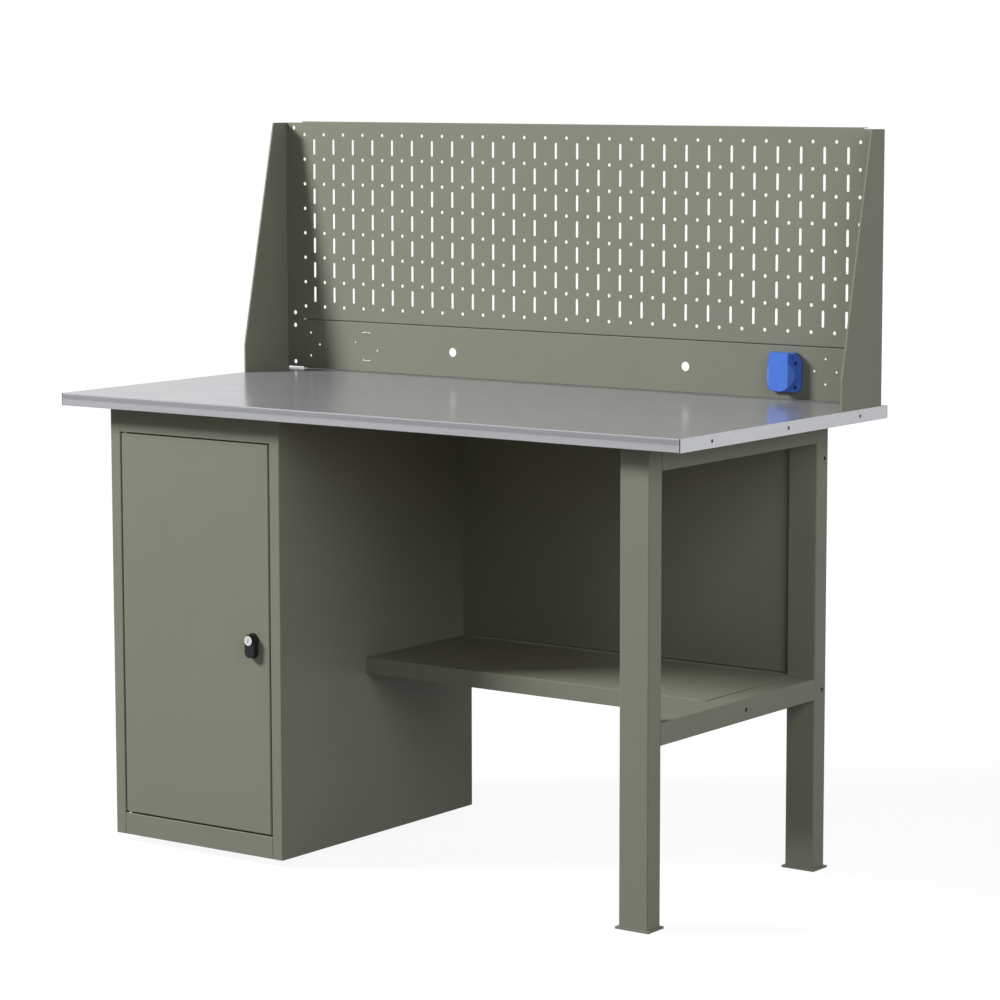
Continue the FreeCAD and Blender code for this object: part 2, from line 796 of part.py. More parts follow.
def back_panel():
    body = new_body("back_panel")
    sheet = d.back_panel_sheet
    plan = [
        (cabinet_right, back_panel_front),
        (back_panel_right, back_panel_front),
        (back_panel_right, back_panel_rear),
        (back_panel_right - sheet, back_panel_rear),
        (back_panel_right - sheet, back_panel_front + sheet),
        (cabinet_right + sheet, back_panel_front + sheet),
        (cabinet_right + sheet, back_panel_rear),
        (cabinet_right, back_panel_rear),
    ]
    pad(body, "XY_Plane", polygon(plan), back_panel_bottom, board_bottom)
    round_edges(body, d.cabinet_bend, {"x": back_panel_right, "y": back_panel_front})
    top = rectangle(cabinet_right + sheet, back_panel_right - sheet, back_panel_front + sheet, back_panel_rear)
    pad(body, "XY_Plane", top, board_bottom - sheet, board_bottom)
    pocket(body, "XY_Plane", circles(back_panel_screws, worktop_screw_hole), board_bottom - sheet, board_bottom)
    holes = circles([(back_panel_bolt_back, up) for up in back_panel_bolt_ups], d.bolt_radius + d.fit_gap)
    pocket(body, "YZ_Plane", holes, cabinet_right, cabinet_right + sheet)


def side_bolts(label, places, clamped):
    """Bolts through the cabinet's right side with their nuts on the clamped sheet."""
    pieces = []
    right = Vector(1, 0, 0)
    head_left = cabinet_inner_right - d.bolt_head
    nut_left = cabinet_right + clamped
    end = nut_left + d.bolt_head + d.bolt_end
    for back, up in places:
        head = hex_prism(point(head_left, back, up), right, d.bolt_head_radius, d.bolt_head)
        shank = rod(point(head_left, back, up), right, d.bolt_radius, end - head_left)
        nut = hex_prism(point(nut_left, back, up), right, d.bolt_head_radius, d.bolt_head)
        bore = rod(point(nut_left, back, up), right, d.bolt_radius + d.running_gap, d.bolt_head)
        pieces.append(head.fuse(shank).removeSplitter())
        pieces.append(nut.cut(bore))
    group(label, pieces)


# Cabinet: two folded sides, a back, a floor, a top and a front frame of rail and plinth
def cabinet_side(label, outer, inward):
    """One side with its front stile and rear return. inward is 1 for the left side and -1 for the right."""
    body = new_body(label)
    sheet = d.cabinet_sheet * inward
    stile = outer + d.stile_width * inward
    plan = [
        (outer, base_front),
        (stile, base_front),
        (stile, stile_rear),
        (stile - sheet, stile_rear),
        (stile - sheet, face_rear),
        (outer + sheet, face_rear),
        (outer + sheet, cabinet_back_rear),
        (outer + d.rear_return * inward, cabinet_back_rear),
        (outer + d.rear_return * inward, base_rear),
        (outer, base_rear),
    ]
    pad(body, "XY_Plane", polygon(plan), cabinet_bottom, board_bottom)
    round_edges(
        body,
        d.cabinet_bend,
        {"x": outer, "y": base_front},
        {"x": stile, "y": base_front},
        {"x": outer, "y": base_rear},
    )
    holes = circles([(back, shelf_peg_up) for back in shelf_peg_backs], d.shelf_peg_radius + d.running_gap)
    low, high = (outer, outer + sheet) if inward > 0 else (outer + sheet, outer)
    pocket(body, "YZ_Plane", holes, low, high)
    return body, low, high


def cabinet_right_side():
    body, low, high = cabinet_side("cabinet_right_side", cabinet_right, -1)
    rail_seat = rectangle(opening_right - d.overrun, cabinet_right + d.overrun, base_front - d.overrun, face_rear)
    pocket(body, "XY_Plane", rail_seat, opening_top, board_bottom)
    return_seat = rectangle(opening_right - d.overrun, cabinet_inner_right, base_front, stile_rear + d.overrun)
    pocket(body, "XY_Plane", return_seat, opening_top, board_bottom)
    bolts = [(back, shelf_bolt_up) for back in shelf_bolt_backs]
    bolts += [(back_panel_bolt_back, up) for up in back_panel_bolt_ups]
    pocket(body, "YZ_Plane", circles(bolts, d.bolt_radius + d.fit_gap), low, high)


def cabinet_top_rail():
    body = new_body("cabinet_top_rail")
    face = rectangle(opening_left, cabinet_right, opening_top, board_bottom)
    pad(body, "XZ_Plane", face, base_front, face_rear)
    flange = rectangle(opening_left, opening_right, face_rear, stile_rear)
    pad(body, "XY_Plane", flange, opening_top, opening_top + d.cabinet_sheet)
    bush = circles([(hinge_across, hinge_back)], d.bush_radius)
    pocket(body, "XY_Plane", bush, opening_top, opening_top + d.cabinet_sheet)


def cabinet_plinth():
    body = new_body("cabinet_plinth")
    sheet = d.cabinet_sheet
    section = [
        (base_front, cabinet_bottom),
        (stile_rear, cabinet_bottom),
        (stile_rear, cabinet_bottom + sheet),
        (face_rear, cabinet_bottom + sheet),
        (face_rear, cabinet_floor_under),
        (stile_rear, cabinet_floor_under),
        (stile_rear, cabinet_floor_top),
        (base_front, cabinet_floor_top),
    ]
    pad(body, "YZ_Plane", polygon(section), opening_left + d.plinth_seam, opening_right)
    round_edges(body, d.cabinet_bend, {"y": base_front, "z": cabinet_floor_top})
    bush = circles([(hinge_across, hinge_back)], d.bush_radius)
    pocket(body, "XY_Plane", bush, cabinet_floor_under, cabinet_floor_top)


def cabinet_floor():
    body = new_body("cabinet_floor")
    sheet = d.cabinet_sheet
    flange_low = cabinet_floor_top - d.floor_flange
    section = [
        (stile_rear, flange_low),
        (stile_rear + sheet, flange_low),
        (stile_rear + sheet, cabinet_floor_under),
        (cabinet_back_front - sheet, cabinet_floor_under),
        (cabinet_back_front - sheet, flange_low),
        (cabinet_back_front, flange_low),
        (cabinet_back_front, cabinet_floor_top),
        (stile_rear, cabinet_floor_top),
    ]
    pad(body, "YZ_Plane", polygon(section), cabinet_inner_left, cabinet_inner_right)


def cabinet_back():
    body = new_body("cabinet_back")
    sheet = rectangle(cabinet_inner_left, cabinet_inner_right, cabinet_bottom, board_bottom)
    pad(body, "XZ_Plane", sheet, cabinet_back_front, cabinet_back_rear)


def cabinet_top():
    body = new_body("cabinet_top")
    sheet = d.cabinet_sheet
    low = board_bottom - d.top_flange
    section = [
        (cabinet_inner_left, low),
        (cabinet_inner_left + sheet, low),
        (cabinet_inner_left + sheet, board_bottom - sheet),
        (cabinet_inner_right - sheet, board_bottom - sheet),
        (cabinet_inner_right - sheet, low),
        (cabinet_inner_right, low),
        (cabinet_inner_right, board_bottom),
        (cabinet_inner_left, board_bottom),
    ]
    pad(body, "XZ_Plane", polygon(section), stile_rear, cabinet_back_front)
    pocket(body, "XY_Plane", circles(worktop_screws, worktop_screw_hole), board_bottom - sheet, board_bottom)


def cabinet_shelf():
    body = new_body("cabinet_shelf")
    sheet = d.cabinet_sheet
    front = inner_shelf_front
    low = d.inner_shelf_height - d.inner_shelf_lip
    rear = cabinet_back_front - d.moving_gap
    section = [
        (front, low),
        (front + sheet, low),
        (front + sheet, inner_shelf_under),
        (rear - sheet, inner_shelf_under),
        (rear - sheet, low),
        (rear, low),
        (rear, d.inner_shelf_height),
        (front, d.inner_shelf_height),
    ]
    gap = d.inner_shelf_side_gap
    pad(body, "YZ_Plane", polygon(section), cabinet_inner_left + gap, cabinet_inner_right - gap)
    round_edges(body, d.cabinet_bend, {"y": front, "z": d.inner_shelf_height})


def shelf_pegs():
    pegs = []
    for wall, inward in ((cabinet_inner_left, 1), (cabinet_inner_right, -1)):
        inner = Vector(inward, 0, 0)
        for back in shelf_peg_backs:
            seat = point(wall, back, shelf_peg_up)
            head = rod(seat, inner, d.shelf_peg_head_radius, d.shelf_peg_head)
            stem = rod(seat, -inner, d.shelf_peg_radius, d.cabinet_sheet)
            pegs.append(head.fuse(stem).removeSplitter())
    group("shelf_pegs", pegs)


# Levelling feet on two rails across the cabinet's underside
foot_backs = (base_front + d.foot_rail_inset, base_rear - d.foot_rail_inset)
foot_acrosses = (base_left + d.foot_inset, cabinet_right - d.foot_inset)


def foot_rail(label, back):
    body = new_body(label)
    sheet = d.foot_rail_sheet
    front = back - d.foot_rail_width / 2
    rear = back + d.foot_rail_width / 2
    top = cabinet_bottom + d.foot_rail_flange
    section = [
        (front, cabinet_bottom),
        (rear, cabinet_bottom),
        (rear, top),
        (rear - sheet, top),
        (rear - sheet, cabinet_bottom + sheet),
        (front + sheet, cabinet_bottom + sheet),
        (front + sheet, top),
        (front, top),
    ]
    pad(body, "YZ_Plane", polygon(section), cabinet_inner_left, cabinet_inner_right)
    holes = circles([(across, back) for across in foot_acrosses], d.foot_stud_radius + d.fit_gap)
    pocket(body, "XY_Plane", holes, cabinet_bottom, cabinet_bottom + sheet)


def cabinet_feet():
    profile = [
        (zero, zero),
        (d.foot_pad_radius, zero),
        (d.foot_pad_radius, d.foot_pad_height / 3),
        (d.foot_pad_top_radius, d.foot_pad_height),
        (d.foot_neck_radius, d.foot_pad_height),
        (d.foot_neck_radius, cabinet_bottom),
        (d.foot_stud_radius, cabinet_bottom),
        (d.foot_stud_radius, cabinet_bottom + d.foot_stud_length),
        (zero, cabinet_bottom + d.foot_stud_length),
    ]
    points = [point(radius, zero, up) for radius, up in profile]
    foot = Part.Face(Part.makePolygon(points + points[:1])).revolve(Vector(), Vector(0, 0, 1), 360)
    group("cabinet_feet", [foot.translated(point(x, y, zero)) for x in foot_acrosses for y in foot_backs])


# Door: a folded tray on two pins that turn in nylon bushes
def door_panel():
    body = new_body("door_panel")
    pad(body, "XZ_Plane", rectangle(door_left, door_right, door_bottom, door_top), base_front, door_rear)
    edges = [{"y": base_front, "x": x} for x in (door_left, door_right)]
    edges += [{"y": base_front, "z": z} for z in (door_bottom, door_top)]
    round_edges(body, d.door_bend, *edges)
    sheet = d.door_sheet
    inside = rectangle(door_left + sheet, door_right - sheet, door_bottom + sheet, door_top - sheet)
    pocket(body, "XZ_Plane", inside, door_inner, door_rear)
    pins = circles([(hinge_across, hinge_back)], d.hinge_pin_radius)
    pocket(body, "XY_Plane", pins, door_top - sheet, door_top)
    pocket(body, "XY_Plane", pins, door_bottom, door_bottom + sheet)
    barrel = circles([(lock_across, lock_up)], d.lock_barrel_radius)
    pocket(body, "XZ_Plane", barrel, base_front, door_inner)


def hinge_pin_profile():
    """From the head inside the door, through its edge and a collar in the gap, into the bush."""
    through = d.door_sheet
    gap_top = through + d.door_gap
    collar_radius = d.hinge_pin_head_radius
    return [
        (zero, -d.hinge_pin_head),
        (d.hinge_pin_head_radius, -d.hinge_pin_head),
        (d.hinge_pin_head_radius, zero),
        (d.hinge_pin_radius, zero),
        (d.hinge_pin_radius, through),
        (collar_radius, through),
        (collar_radius, through + d.hinge_collar),
        (d.hinge_pin_radius, through + d.hinge_collar),
        (d.hinge_pin_radius, gap_top + d.hinge_pin_reach),
        (zero, gap_top + d.hinge_pin_reach),
    ]


def hinge_bush_profile():
    """A flanged sleeve whose flange lies in the door gap. The seat is the frame's face at zero."""
    bore = d.hinge_pin_radius + d.running_gap
    return [
        (bore, -d.bush_flange),
        (d.bush_flange_radius, -d.bush_flange),
        (d.bush_flange_radius, zero),
        (d.bush_radius, zero),
        (d.bush_radius, d.bush_height),
        (bore, d.bush_height),
    ]


# Lock: a black handle body on the door, with a turning plug that carries the cam
def lock_body():
    body = new_body("lock_body")
    low = lock_up - d.lock_centres
    handle = pad(body, "XZ_Plane", obround(lock_across, low, lock_up, d.lock_base_radius), lock_front, base_front)
    handle.setExpression("TaperAngle", (-d.lock_taper).text)
    barrel = circles([(lock_across, lock_up)], d.lock_barrel_radius)
    pad(body, "XZ_Plane", barrel, base_front, lock_barrel_rear)
    bore = circles([(lock_across, lock_up)], d.plug_radius + d.running_gap)
    pocket(body, "XZ_Plane", bore, lock_front, lock_barrel_rear)


def lock_nut():
    body = new_body("lock_nut")
    hexagon = regular_polygon(lock_across, lock_up, d.lock_nut_radius, HEX_SIDES)
    rear = door_inner + d.lock_nut_height
    pad(body, "XZ_Plane", hexagon, door_inner, rear)
    thread = circles([(lock_across, lock_up)], d.lock_barrel_radius + d.running_gap)
    pocket(body, "XZ_Plane", thread, door_inner, rear)


def lock_plug():
    body = new_body("lock_plug")
    face = circles([(lock_across, lock_up)], d.plug_face_radius)
    pad(body, "XZ_Plane", face, plug_face_front, plug_face_rear)
    stem = circles([(lock_across, lock_up)], d.plug_radius)
    pad(body, "XZ_Plane", stem, plug_face_rear, cam_front)
    half_slot = d.key_slot_width / 2
    half_rise = d.key_slot_height / 2
    slot = rectangle(lock_across - half_slot, lock_across + half_slot, lock_up - half_rise, lock_up + half_rise)
    pocket(body, "XZ_Plane", slot, plug_face_front, plug_face_front + d.key_slot_depth)
    thread = circles([(lock_across, lock_up)], d.cam_screw_radius + d.running_gap)
    pocket(body, "XZ_Plane", thread, cam_rear - d.cam_screw_length, cam_front)


def lock_cam():
    body = new_body("lock_cam")
    half = d.cam_width / 2
    left = lock_across - half
    right = lock_across + half
    top = lock_up + half
    tip = top - d.cam_length + half
    plate = domed([(right, tip), (right, top), (left, top), (left, tip)], lock_across, tip)
    pad(body, "XZ_Plane", plate, cam_front, cam_rear)
    hole = circles([(lock_across, lock_up)], d.cam_screw_radius + d.running_gap)
    pocket(body, "XZ_Plane", hole, cam_front, cam_rear)


# Tool screen: two brackets with a perforated panel over a plain strip
def screen_bracket(label, side):
    body = new_body(label)
    outline = [
        (bracket_foot, board_bottom),
        (bracket_rear, board_bottom),
        (bracket_rear, bracket_top),
        (bracket_rear - d.bracket_top_depth, bracket_top),
        (bracket_foot, d.worktop_height + d.bracket_knee),
    ]
    pad(body, "YZ_Plane", polygon(outline), *spread(side, bracket_inner, board_end))
    hem = d.bracket_hem
    top_front = bracket_rear - d.bracket_top_depth
    knee = d.worktop_height + d.bracket_knee
    fold = [
        (bracket_foot, d.worktop_height),
        (bracket_foot + hem, d.worktop_height),
        (bracket_foot + hem, knee),
        (top_front + hem, bracket_top),
        (top_front, bracket_top),
        (bracket_foot, knee),
    ]
    pad(body, "YZ_Plane", polygon(fold), *spread(side, bracket_inner - d.bracket_hem_sheet, bracket_inner))
    left, right = spread(side, bracket_inner - d.bracket_flange, bracket_inner)
    flange = rectangle(left, right, strip_bottom + d.ear_drop, bracket_top)
    pad(body, "XZ_Plane", flange, screen_rear, bracket_rear)
    holes = circles([(ear_hole_across * side, up) for up in strip_hole_ups + panel_hole_ups], d.ear_hole_radius)
    pocket(body, "XZ_Plane", holes, screen_rear, bracket_rear)
    tab = circles([(end_screw_reach, edge_middle)], d.end_screw_radius + d.fit_gap)
    pocket(body, "YZ_Plane", tab, *spread(side, bracket_inner, board_end))


def screen_sheet(label, bottom, top, hole_ups):
    """A sheet folded back along its top and bottom between two flat ears."""
    body = new_body(label)
    sheet = d.screen_sheet
    section = [
        (screen_front, bottom),
        (screen_return_rear, bottom),
        (screen_return_rear, bottom + sheet),
        (screen_rear, bottom + sheet),
        (screen_rear, top - sheet),
        (screen_return_rear, top - sheet),
        (screen_return_rear, top),
        (screen_front, top),
    ]
    pad(body, "YZ_Plane", polygon(section), -return_end, return_end)
    round_edges(body, d.screen_bend, {"y": screen_front, "z": bottom}, {"y": screen_front, "z": top})
    ears = rectangle(-screen_end, screen_end, bottom + d.ear_drop, top - d.ear_drop)
    pad(body, "XZ_Plane", ears, screen_front, screen_rear)
    holes = circles([(ear_hole_across * side, up) for side in (-1, 1) for up in hole_ups], d.ear_hole_radius)
    pocket(body, "XZ_Plane", holes, screen_front, screen_rear)
    return body


def relieve_corners(body, bottom, top):
    """Round reliefs where the folds end against the ears."""
    corners = circles([(return_end * side, up) for side in (-1, 1) for up in (bottom, top)], d.relief_radius)
    pocket(body, "XZ_Plane", corners, screen_front, screen_return_rear)


def pierced_strips(body, strip, holes, count):
    """Fill the window with upright strips of pierced sheet, one pitch apart."""

    def draw(sketch):
        for outline in [strip] + holes:
            outline(sketch)

    first = pad(body, "XZ_Plane", draw, screen_front, screen_rear)
    row = body.newObject("PartDesign::LinearPattern", f"{body.Label}_row")
    row.Originals = [first]
    row.Direction = (first.Profile[0], ["H_Axis"])
    row.setExpression("Length", (d.peg_pitch * (count - 1)).text)
    row.Occurrences = count
    body.Tip = row
    for feature in (first, row):
        feature.Refine = False


def perforated_panel():
    body = screen_sheet("perforated_panel", panel_bottom, panel_top, panel_hole_ups)
    relieve_corners(body, panel_bottom, panel_top)
    quarter = d.peg_pitch / 4
    half = d.peg_pitch / 2
    across = -d.peg_pitch * (PEG_COLUMNS - 1) / 2
    ups = [(panel_bottom + panel_top) / 2 + d.peg_pitch * (row - (PEG_ROWS - 1) / 2) for row in range(PEG_ROWS)]
    low = ups[0] - quarter
    high = ups[-1] + quarter
    window = rectangle(across - quarter, quarter - across, low, high)
    pocket(body, "XZ_Plane", window, screen_front, screen_rear)
    strip = rectangle(across - quarter, across + quarter, low, high)
    pegs = [regular_polygon(across, up, d.peg_hole_radius, HEX_SIDES) for up in ups]
    pierced_strips(body, strip, pegs, PEG_COLUMNS)
    across = across + half
    strip = rectangle(across - quarter, across + quarter, low, high)
    half_slot = d.peg_slot_width / 2
    half_rise = d.peg_slot_height / 2
    middles = [up + half for up in ups[:-1]]
    slots = [rectangle(across - half_slot, across + half_slot, up - half_rise, up + half_rise) for up in middles]
    pierced_strips(body, strip, slots, PEG_COLUMNS - 1)


def around(across, up, radius, start_turn):
    turns = [math.radians(start_turn + 90 * i) for i in range(4)]
    return [(across + radius * math.cos(turn), up + radius * math.sin(turn)) for turn in turns]


def socket_strip():
    body = screen_sheet("socket_strip", strip_bottom, strip_top, strip_hole_ups)

    def pierce(centres, radius):
        pocket(body, "XZ_Plane", circles(centres, radius), screen_front, screen_rear)

    cable = d.cable_hole_spacing / 2
    middle = (strip_bottom + strip_top) / 2
    pierce([(-cable, middle), (cable, middle)], d.cable_hole_radius)
    left = d.left_diamond_inset - screen_end
    right = screen_end - d.right_diamond_inset
    diamond = around(left, strip_bottom + d.left_diamond_height, d.diamond_pitch_radius, 0)
    diamond += around(right, strip_bottom + d.right_diamond_height, d.diamond_pitch_radius, 0)
    pierce(diamond, d.diamond_hole_radius)
    knockout_up = strip_bottom + d.knockout_height
    pierce(around(-d.knockout_offset, knockout_up, d.knockout_pitch_radius, KNOCKOUT_TURN), d.knockout_hole_radius)
    pierce([(d.socket_offset, socket_up)], d.socket_body_radius + d.fit_gap)
    pierce(socket_screw_places(), d.socket_screw_radius + d.fit_gap)
    relieve_corners(body, strip_bottom, strip_top)


# Socket: a flanged housing with its insert and contacts, closed by a hinged lid
def socket_screw_places():
    half_across = d.socket_screw_spacing_across / 2
    half_up = d.socket_screw_spacing_up / 2
    return [(d.socket_offset + half_across * x, socket_up + half_up * z) for x in (-1, 1) for z in (-1, 1)]


def flange(body, front, rear):
    """A plate with rounded lower corners and chamfered upper ones."""
    half = d.socket_flange_width / 2
    half_top = d.socket_flange_top_width / 2
    low = socket_up - d.socket_flange_drop
    top = socket_up + d.socket_flange_rise
    slope = top - d.socket_flange_chamfer
    left = d.socket_offset - half
    right = d.socket_offset + half
    outline = [
        (left, low),
        (right, low),
        (right, slope),
        (d.socket_offset + half_top, top),
        (d.socket_offset - half_top, top),
        (left, slope),
    ]
    pad(body, "XZ_Plane", polygon(outline), front, rear)
    round_edges(body, d.socket_corner, {"x": left, "z": low}, {"x": right, "z": low})


def socket_gasket():
    body = new_body("socket_gasket")
    flange(body, gasket_front, screen_front)
    opening = circles([(d.socket_offset, socket_up)], d.socket_body_radius + d.fit_gap)
    pocket(body, "XZ_Plane", opening, gasket_front, screen_front)
    holes = circles(socket_screw_places(), d.socket_screw_radius + d.fit_gap)
    pocket(body, "XZ_Plane", holes, gasket_front, screen_front)


def socket_housing():
    body = new_body("socket_housing")
    centre = [(d.socket_offset, socket_up)]
    flange(body, socket_face, gasket_front)
    pad(body, "XZ_Plane", circles(centre, d.socket_body_radius), gasket_front, socket_rear)
    pad(body, "XZ_Plane", circles(centre, d.socket_collar_radius), collar_front, socket_face)
    lug_front = lid_pin_back - d.lid_lug_radius
    lug_low = lid_pin_up - d.lid_lug_radius
    for side in (-1, 1):
        left, right = spread(side, lug_inner, lug_outer)
        lug = [
            (gasket_front, lug_low),
            (gasket_front, lid_top),
            (lug_front, lid_top),
            (lug_front, lug_low),
        ]
        pad(body, "YZ_Plane", polygon(lug), d.socket_offset + left, d.socket_offset + right)
    round_edges(body, d.lid_lug_radius / 2, {"y": lug_front, "z": lid_top}, {"y": lug_front, "z": lug_low})
    pin = circles([(lid_pin_back, lid_pin_up)], d.lid_pin_radius)
    pocket(body, "YZ_Plane", pin, d.socket_offset - lug_outer, d.socket_offset + lug_outer)
    bore = circles(centre, d.socket_bore_radius)
    pocket(body, "XZ_Plane", bore, collar_front, socket_rear - d.socket_back)
    recess = circles(socket_screw_places(), d.socket_screw_head_radius + d.fit_gap)
    pocket(body, "XZ_Plane", recess, socket_face, socket_face + d.socket_screw_recess)
    holes = circles(socket_screw_places(), d.socket_screw_radius + d.fit_gap)
    pocket(body, "XZ_Plane", holes, socket_face, gasket_front)


def socket_insert():
    body = new_body("socket_insert")
    disc = circles([(d.socket_offset, socket_up)], d.socket_bore_radius - d.running_gap)
    pad(body, "XZ_Plane", disc, insert_front, insert_rear)
    pocket(body, "XZ_Plane", circles(contact_places(), d.pin_hole_radius), insert_front, insert_rear)


def contact_places():
    half = d.pin_hole_spacing / 2
    return [(d.socket_offset - half, socket_up), (d.socket_offset + half, socket_up)]


def socket_contacts():
    back = Vector(0, 1, 0)
    sleeves = []
    for across, up in contact_places():
        start = point(across, insert_rear, up)
        outer = rod(start, back, d.pin_hole_radius + d.contact_wall, d.contact_length)
        sleeves.append(outer.cut(rod(start, back, d.pin_hole_radius, d.contact_length)))
    group("socket_contacts", sleeves)


def earth_clips():
    clips = []
    rise = d.socket_bore_radius - d.earth_clip_sheet * 2
    for side in (-1, 1):
        low, high = spread(side, rise, rise + d.earth_clip_sheet)
        left = d.socket_offset - d.earth_clip_width / 2
        corner = point(left, insert_front - d.earth_clip_length, socket_up + low)
        size = (d.earth_clip_width.value, d.earth_clip_length.value, d.earth_clip_sheet.value)
        clips.append(Part.makeBox(*size, corner))
    group("earth_clips", clips)


def socket_screws():
    back = Vector(0, 1, 0)
    seat = socket_face + d.socket_screw_recess
    screws = []
    for across, up in socket_screw_places():
        head_start = point(across, seat - d.socket_screw_head, up)
        head = rod(head_start, back, d.socket_screw_head_radius, d.socket_screw_head)
        shank = rod(point(across, seat, up), back, d.socket_screw_radius, d.socket_screw_length)
        screws.append(head.fuse(shank).removeSplitter())
    group("socket_screws", screws)


def lid_pin():
    body = new_body("lid_pin")
    pin = circles([(lid_pin_back, lid_pin_up)], d.lid_pin_radius)
    reach = lug_outer + d.lid_pin_hang
    pad(body, "YZ_Plane", pin, d.socket_offset - reach, d.socket_offset + reach)


def lid_outline(margin):
    """A round cap under an upright block, as seen from the front."""
    left = d.socket_offset - lid_ridge + margin
    right = d.socket_offset + lid_ridge - margin
    start = socket_up + d.lid_ridge_rise - margin
    top = lid_top - margin
    return domed([(right, start), (right, top), (left, top), (left, start)], d.socket_offset, socket_up)


def socket_lid():
    body = new_body("socket_lid")
    pad(body, "XZ_Plane", lid_outline(zero), lid_front, lid_rear)
    round_edges(body, d.lid_lug_radius, {"y": lid_rear, "z": lid_top})
    facet_rear = lid_front + d.lid_facet
    outside = d.lid_width / 2 + d.overrun
    run = (outside - lid_ridge) * d.lid_facet / (d.lid_width / 2 - lid_ridge)
    for side in (-1, 1):
        ridge = d.socket_offset + lid_ridge * side
        edge = d.socket_offset + outside * side
        wedge = polygon([(ridge, lid_front), (edge, lid_front), (edge, lid_front + run)])
        pocket(body, "XY_Plane", wedge, socket_up - outside, socket_up + outside)
    wall = d.lid_wall
    pocket(body, "XZ_Plane", lid_outline(wall), facet_rear + wall, lid_rear)
    inner = lid_ridge - wall
    rise = d.lid_ridge_rise - wall
    hollow = rectangle(d.socket_offset - inner, d.socket_offset + inner, socket_up - rise, lid_top - wall)
    pocket(body, "XZ_Plane", hollow, lid_front + wall, lid_rear)
    bore = circles([(lid_pin_back, lid_pin_up)], d.lid_pin_radius + d.running_gap)
    pocket(body, "YZ_Plane", bore, d.socket_offset - lug_outer, d.socket_offset + lug_outer)


worktop_board()
worktop_cladding()
end_strip("left_end_strip", -1)
end_strip("right_end_strip", 1)
end_strip_screws()
worktop_fixing_screws()

leg("front_leg", base_front, front_leg_rear)
rear_leg()
foot_plate("front_leg_foot", base_front, front_leg_rear)
foot_plate("rear_leg_foot", rear_leg_front, base_rear)
upper_crossbar()
lower_crossbar()

lower_shelf()
back_panel()
side_bolts("shelf_bolts", [(back, shelf_bolt_up) for back in shelf_bolt_backs], d.shelf_sheet)
side_bolts("back_panel_bolts", [(back_panel_bolt_back, up) for up in back_panel_bolt_ups], d.back_panel_sheet)

cabinet_side("cabinet_left_side", base_left, 1)
cabinet_right_side()
cabinet_top_rail()
cabinet_plinth()
cabinet_floor()
cabinet_back()
cabinet_top()
cabinet_shelf()
shelf_pegs()
foot_rail("front_foot_rail", foot_backs[0])
foot_rail("rear_foot_rail", foot_backs[1])
cabinet_feet()

door_panel()
revolve("upper_hinge_pin", hinge_pin_profile(), hinge_across, hinge_back, door_top - d.door_sheet)
revolve("lower_hinge_pin", hinge_pin_profile(), hinge_across, hinge_back, door_bottom + d.door_sheet, 180)
revolve("upper_hinge_bush", hinge_bush_profile(), hinge_across, hinge_back, opening_top)
revolve("lower_hinge_bush", hinge_bush_profile(), hinge_across, hinge_back, cabinet_floor_top, 180)
lock_body()
lock_nut()
lock_plug()
lock_cam()
revolve(
    "cam_screw",
    [
        (zero, zero),
        (d.cam_screw_head_radius, zero),
        (d.cam_screw_head_radius, d.cam_screw_head),
        (zero, d.cam_screw_head),
    ],
    lock_across,
    cam_rear,
    lock_up,
    -90,
)

screen_bracket("left_screen_bracket", -1)
screen_bracket("right_screen_bracket", 1)
perforated_panel()
socket_strip()

socket_gasket()
socket_housing()
socket_insert()
socket_contacts()
earth_clips()
socket_screws()
lid_pin()
socket_lid()

doc.recompute()


def faults():
    """Everything that failed to build, and every cut that removed nothing."""
    found = []
    for item in doc.Objects:
        if {"Invalid", "Error"} & set(item.State):
            found.append(f"{item.Label} did not build")
        if item.TypeId == "PartDesign::Pocket":
            if item.Shape.isNull() or item.BaseFeature.Shape.Volume - item.Shape.Volume < 1e-3:
                found.append(f"{item.Label} cut nothing")
    for piece in parts:
        if piece.Shape.isNull() or not piece.Shape.isValid():
            found.append(f"{piece.Label} has no valid shape")
    return found


problems = faults()
if problems:
    raise RuntimeError("; ".join(problems))

os.makedirs("parts", exist_ok=True)
for piece in parts:
    piece.Shape.exportStep(f"parts/{piece.Label}.step")
print(len(parts), "pieces written")
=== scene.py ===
import json
import math

import bmesh
import bpy
from mathutils import Matrix, Vector
from mathutils.geometry import delaunay_2d_cdt


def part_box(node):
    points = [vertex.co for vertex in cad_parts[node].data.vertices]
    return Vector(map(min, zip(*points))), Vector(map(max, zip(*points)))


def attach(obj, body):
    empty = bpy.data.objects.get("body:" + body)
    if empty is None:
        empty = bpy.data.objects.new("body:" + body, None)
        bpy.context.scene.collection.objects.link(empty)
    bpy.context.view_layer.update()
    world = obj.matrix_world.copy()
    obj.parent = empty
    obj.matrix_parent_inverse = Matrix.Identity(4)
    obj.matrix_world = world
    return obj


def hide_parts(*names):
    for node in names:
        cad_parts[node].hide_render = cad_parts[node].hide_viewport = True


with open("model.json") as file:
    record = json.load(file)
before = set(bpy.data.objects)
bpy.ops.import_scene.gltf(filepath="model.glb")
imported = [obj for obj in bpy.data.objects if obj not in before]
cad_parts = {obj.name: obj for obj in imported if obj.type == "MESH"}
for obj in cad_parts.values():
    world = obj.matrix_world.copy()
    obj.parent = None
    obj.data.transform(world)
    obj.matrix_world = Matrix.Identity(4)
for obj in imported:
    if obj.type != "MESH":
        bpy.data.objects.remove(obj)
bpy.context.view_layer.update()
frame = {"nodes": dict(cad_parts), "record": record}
scene = bpy.context.scene
nodes = frame["nodes"]
slot_of = {entry["node"]: entry["material_slot"] for entry in frame["record"]["subparts"]}
mounts = {mount["name"]: mount for mount in frame["record"]["mounts"]}


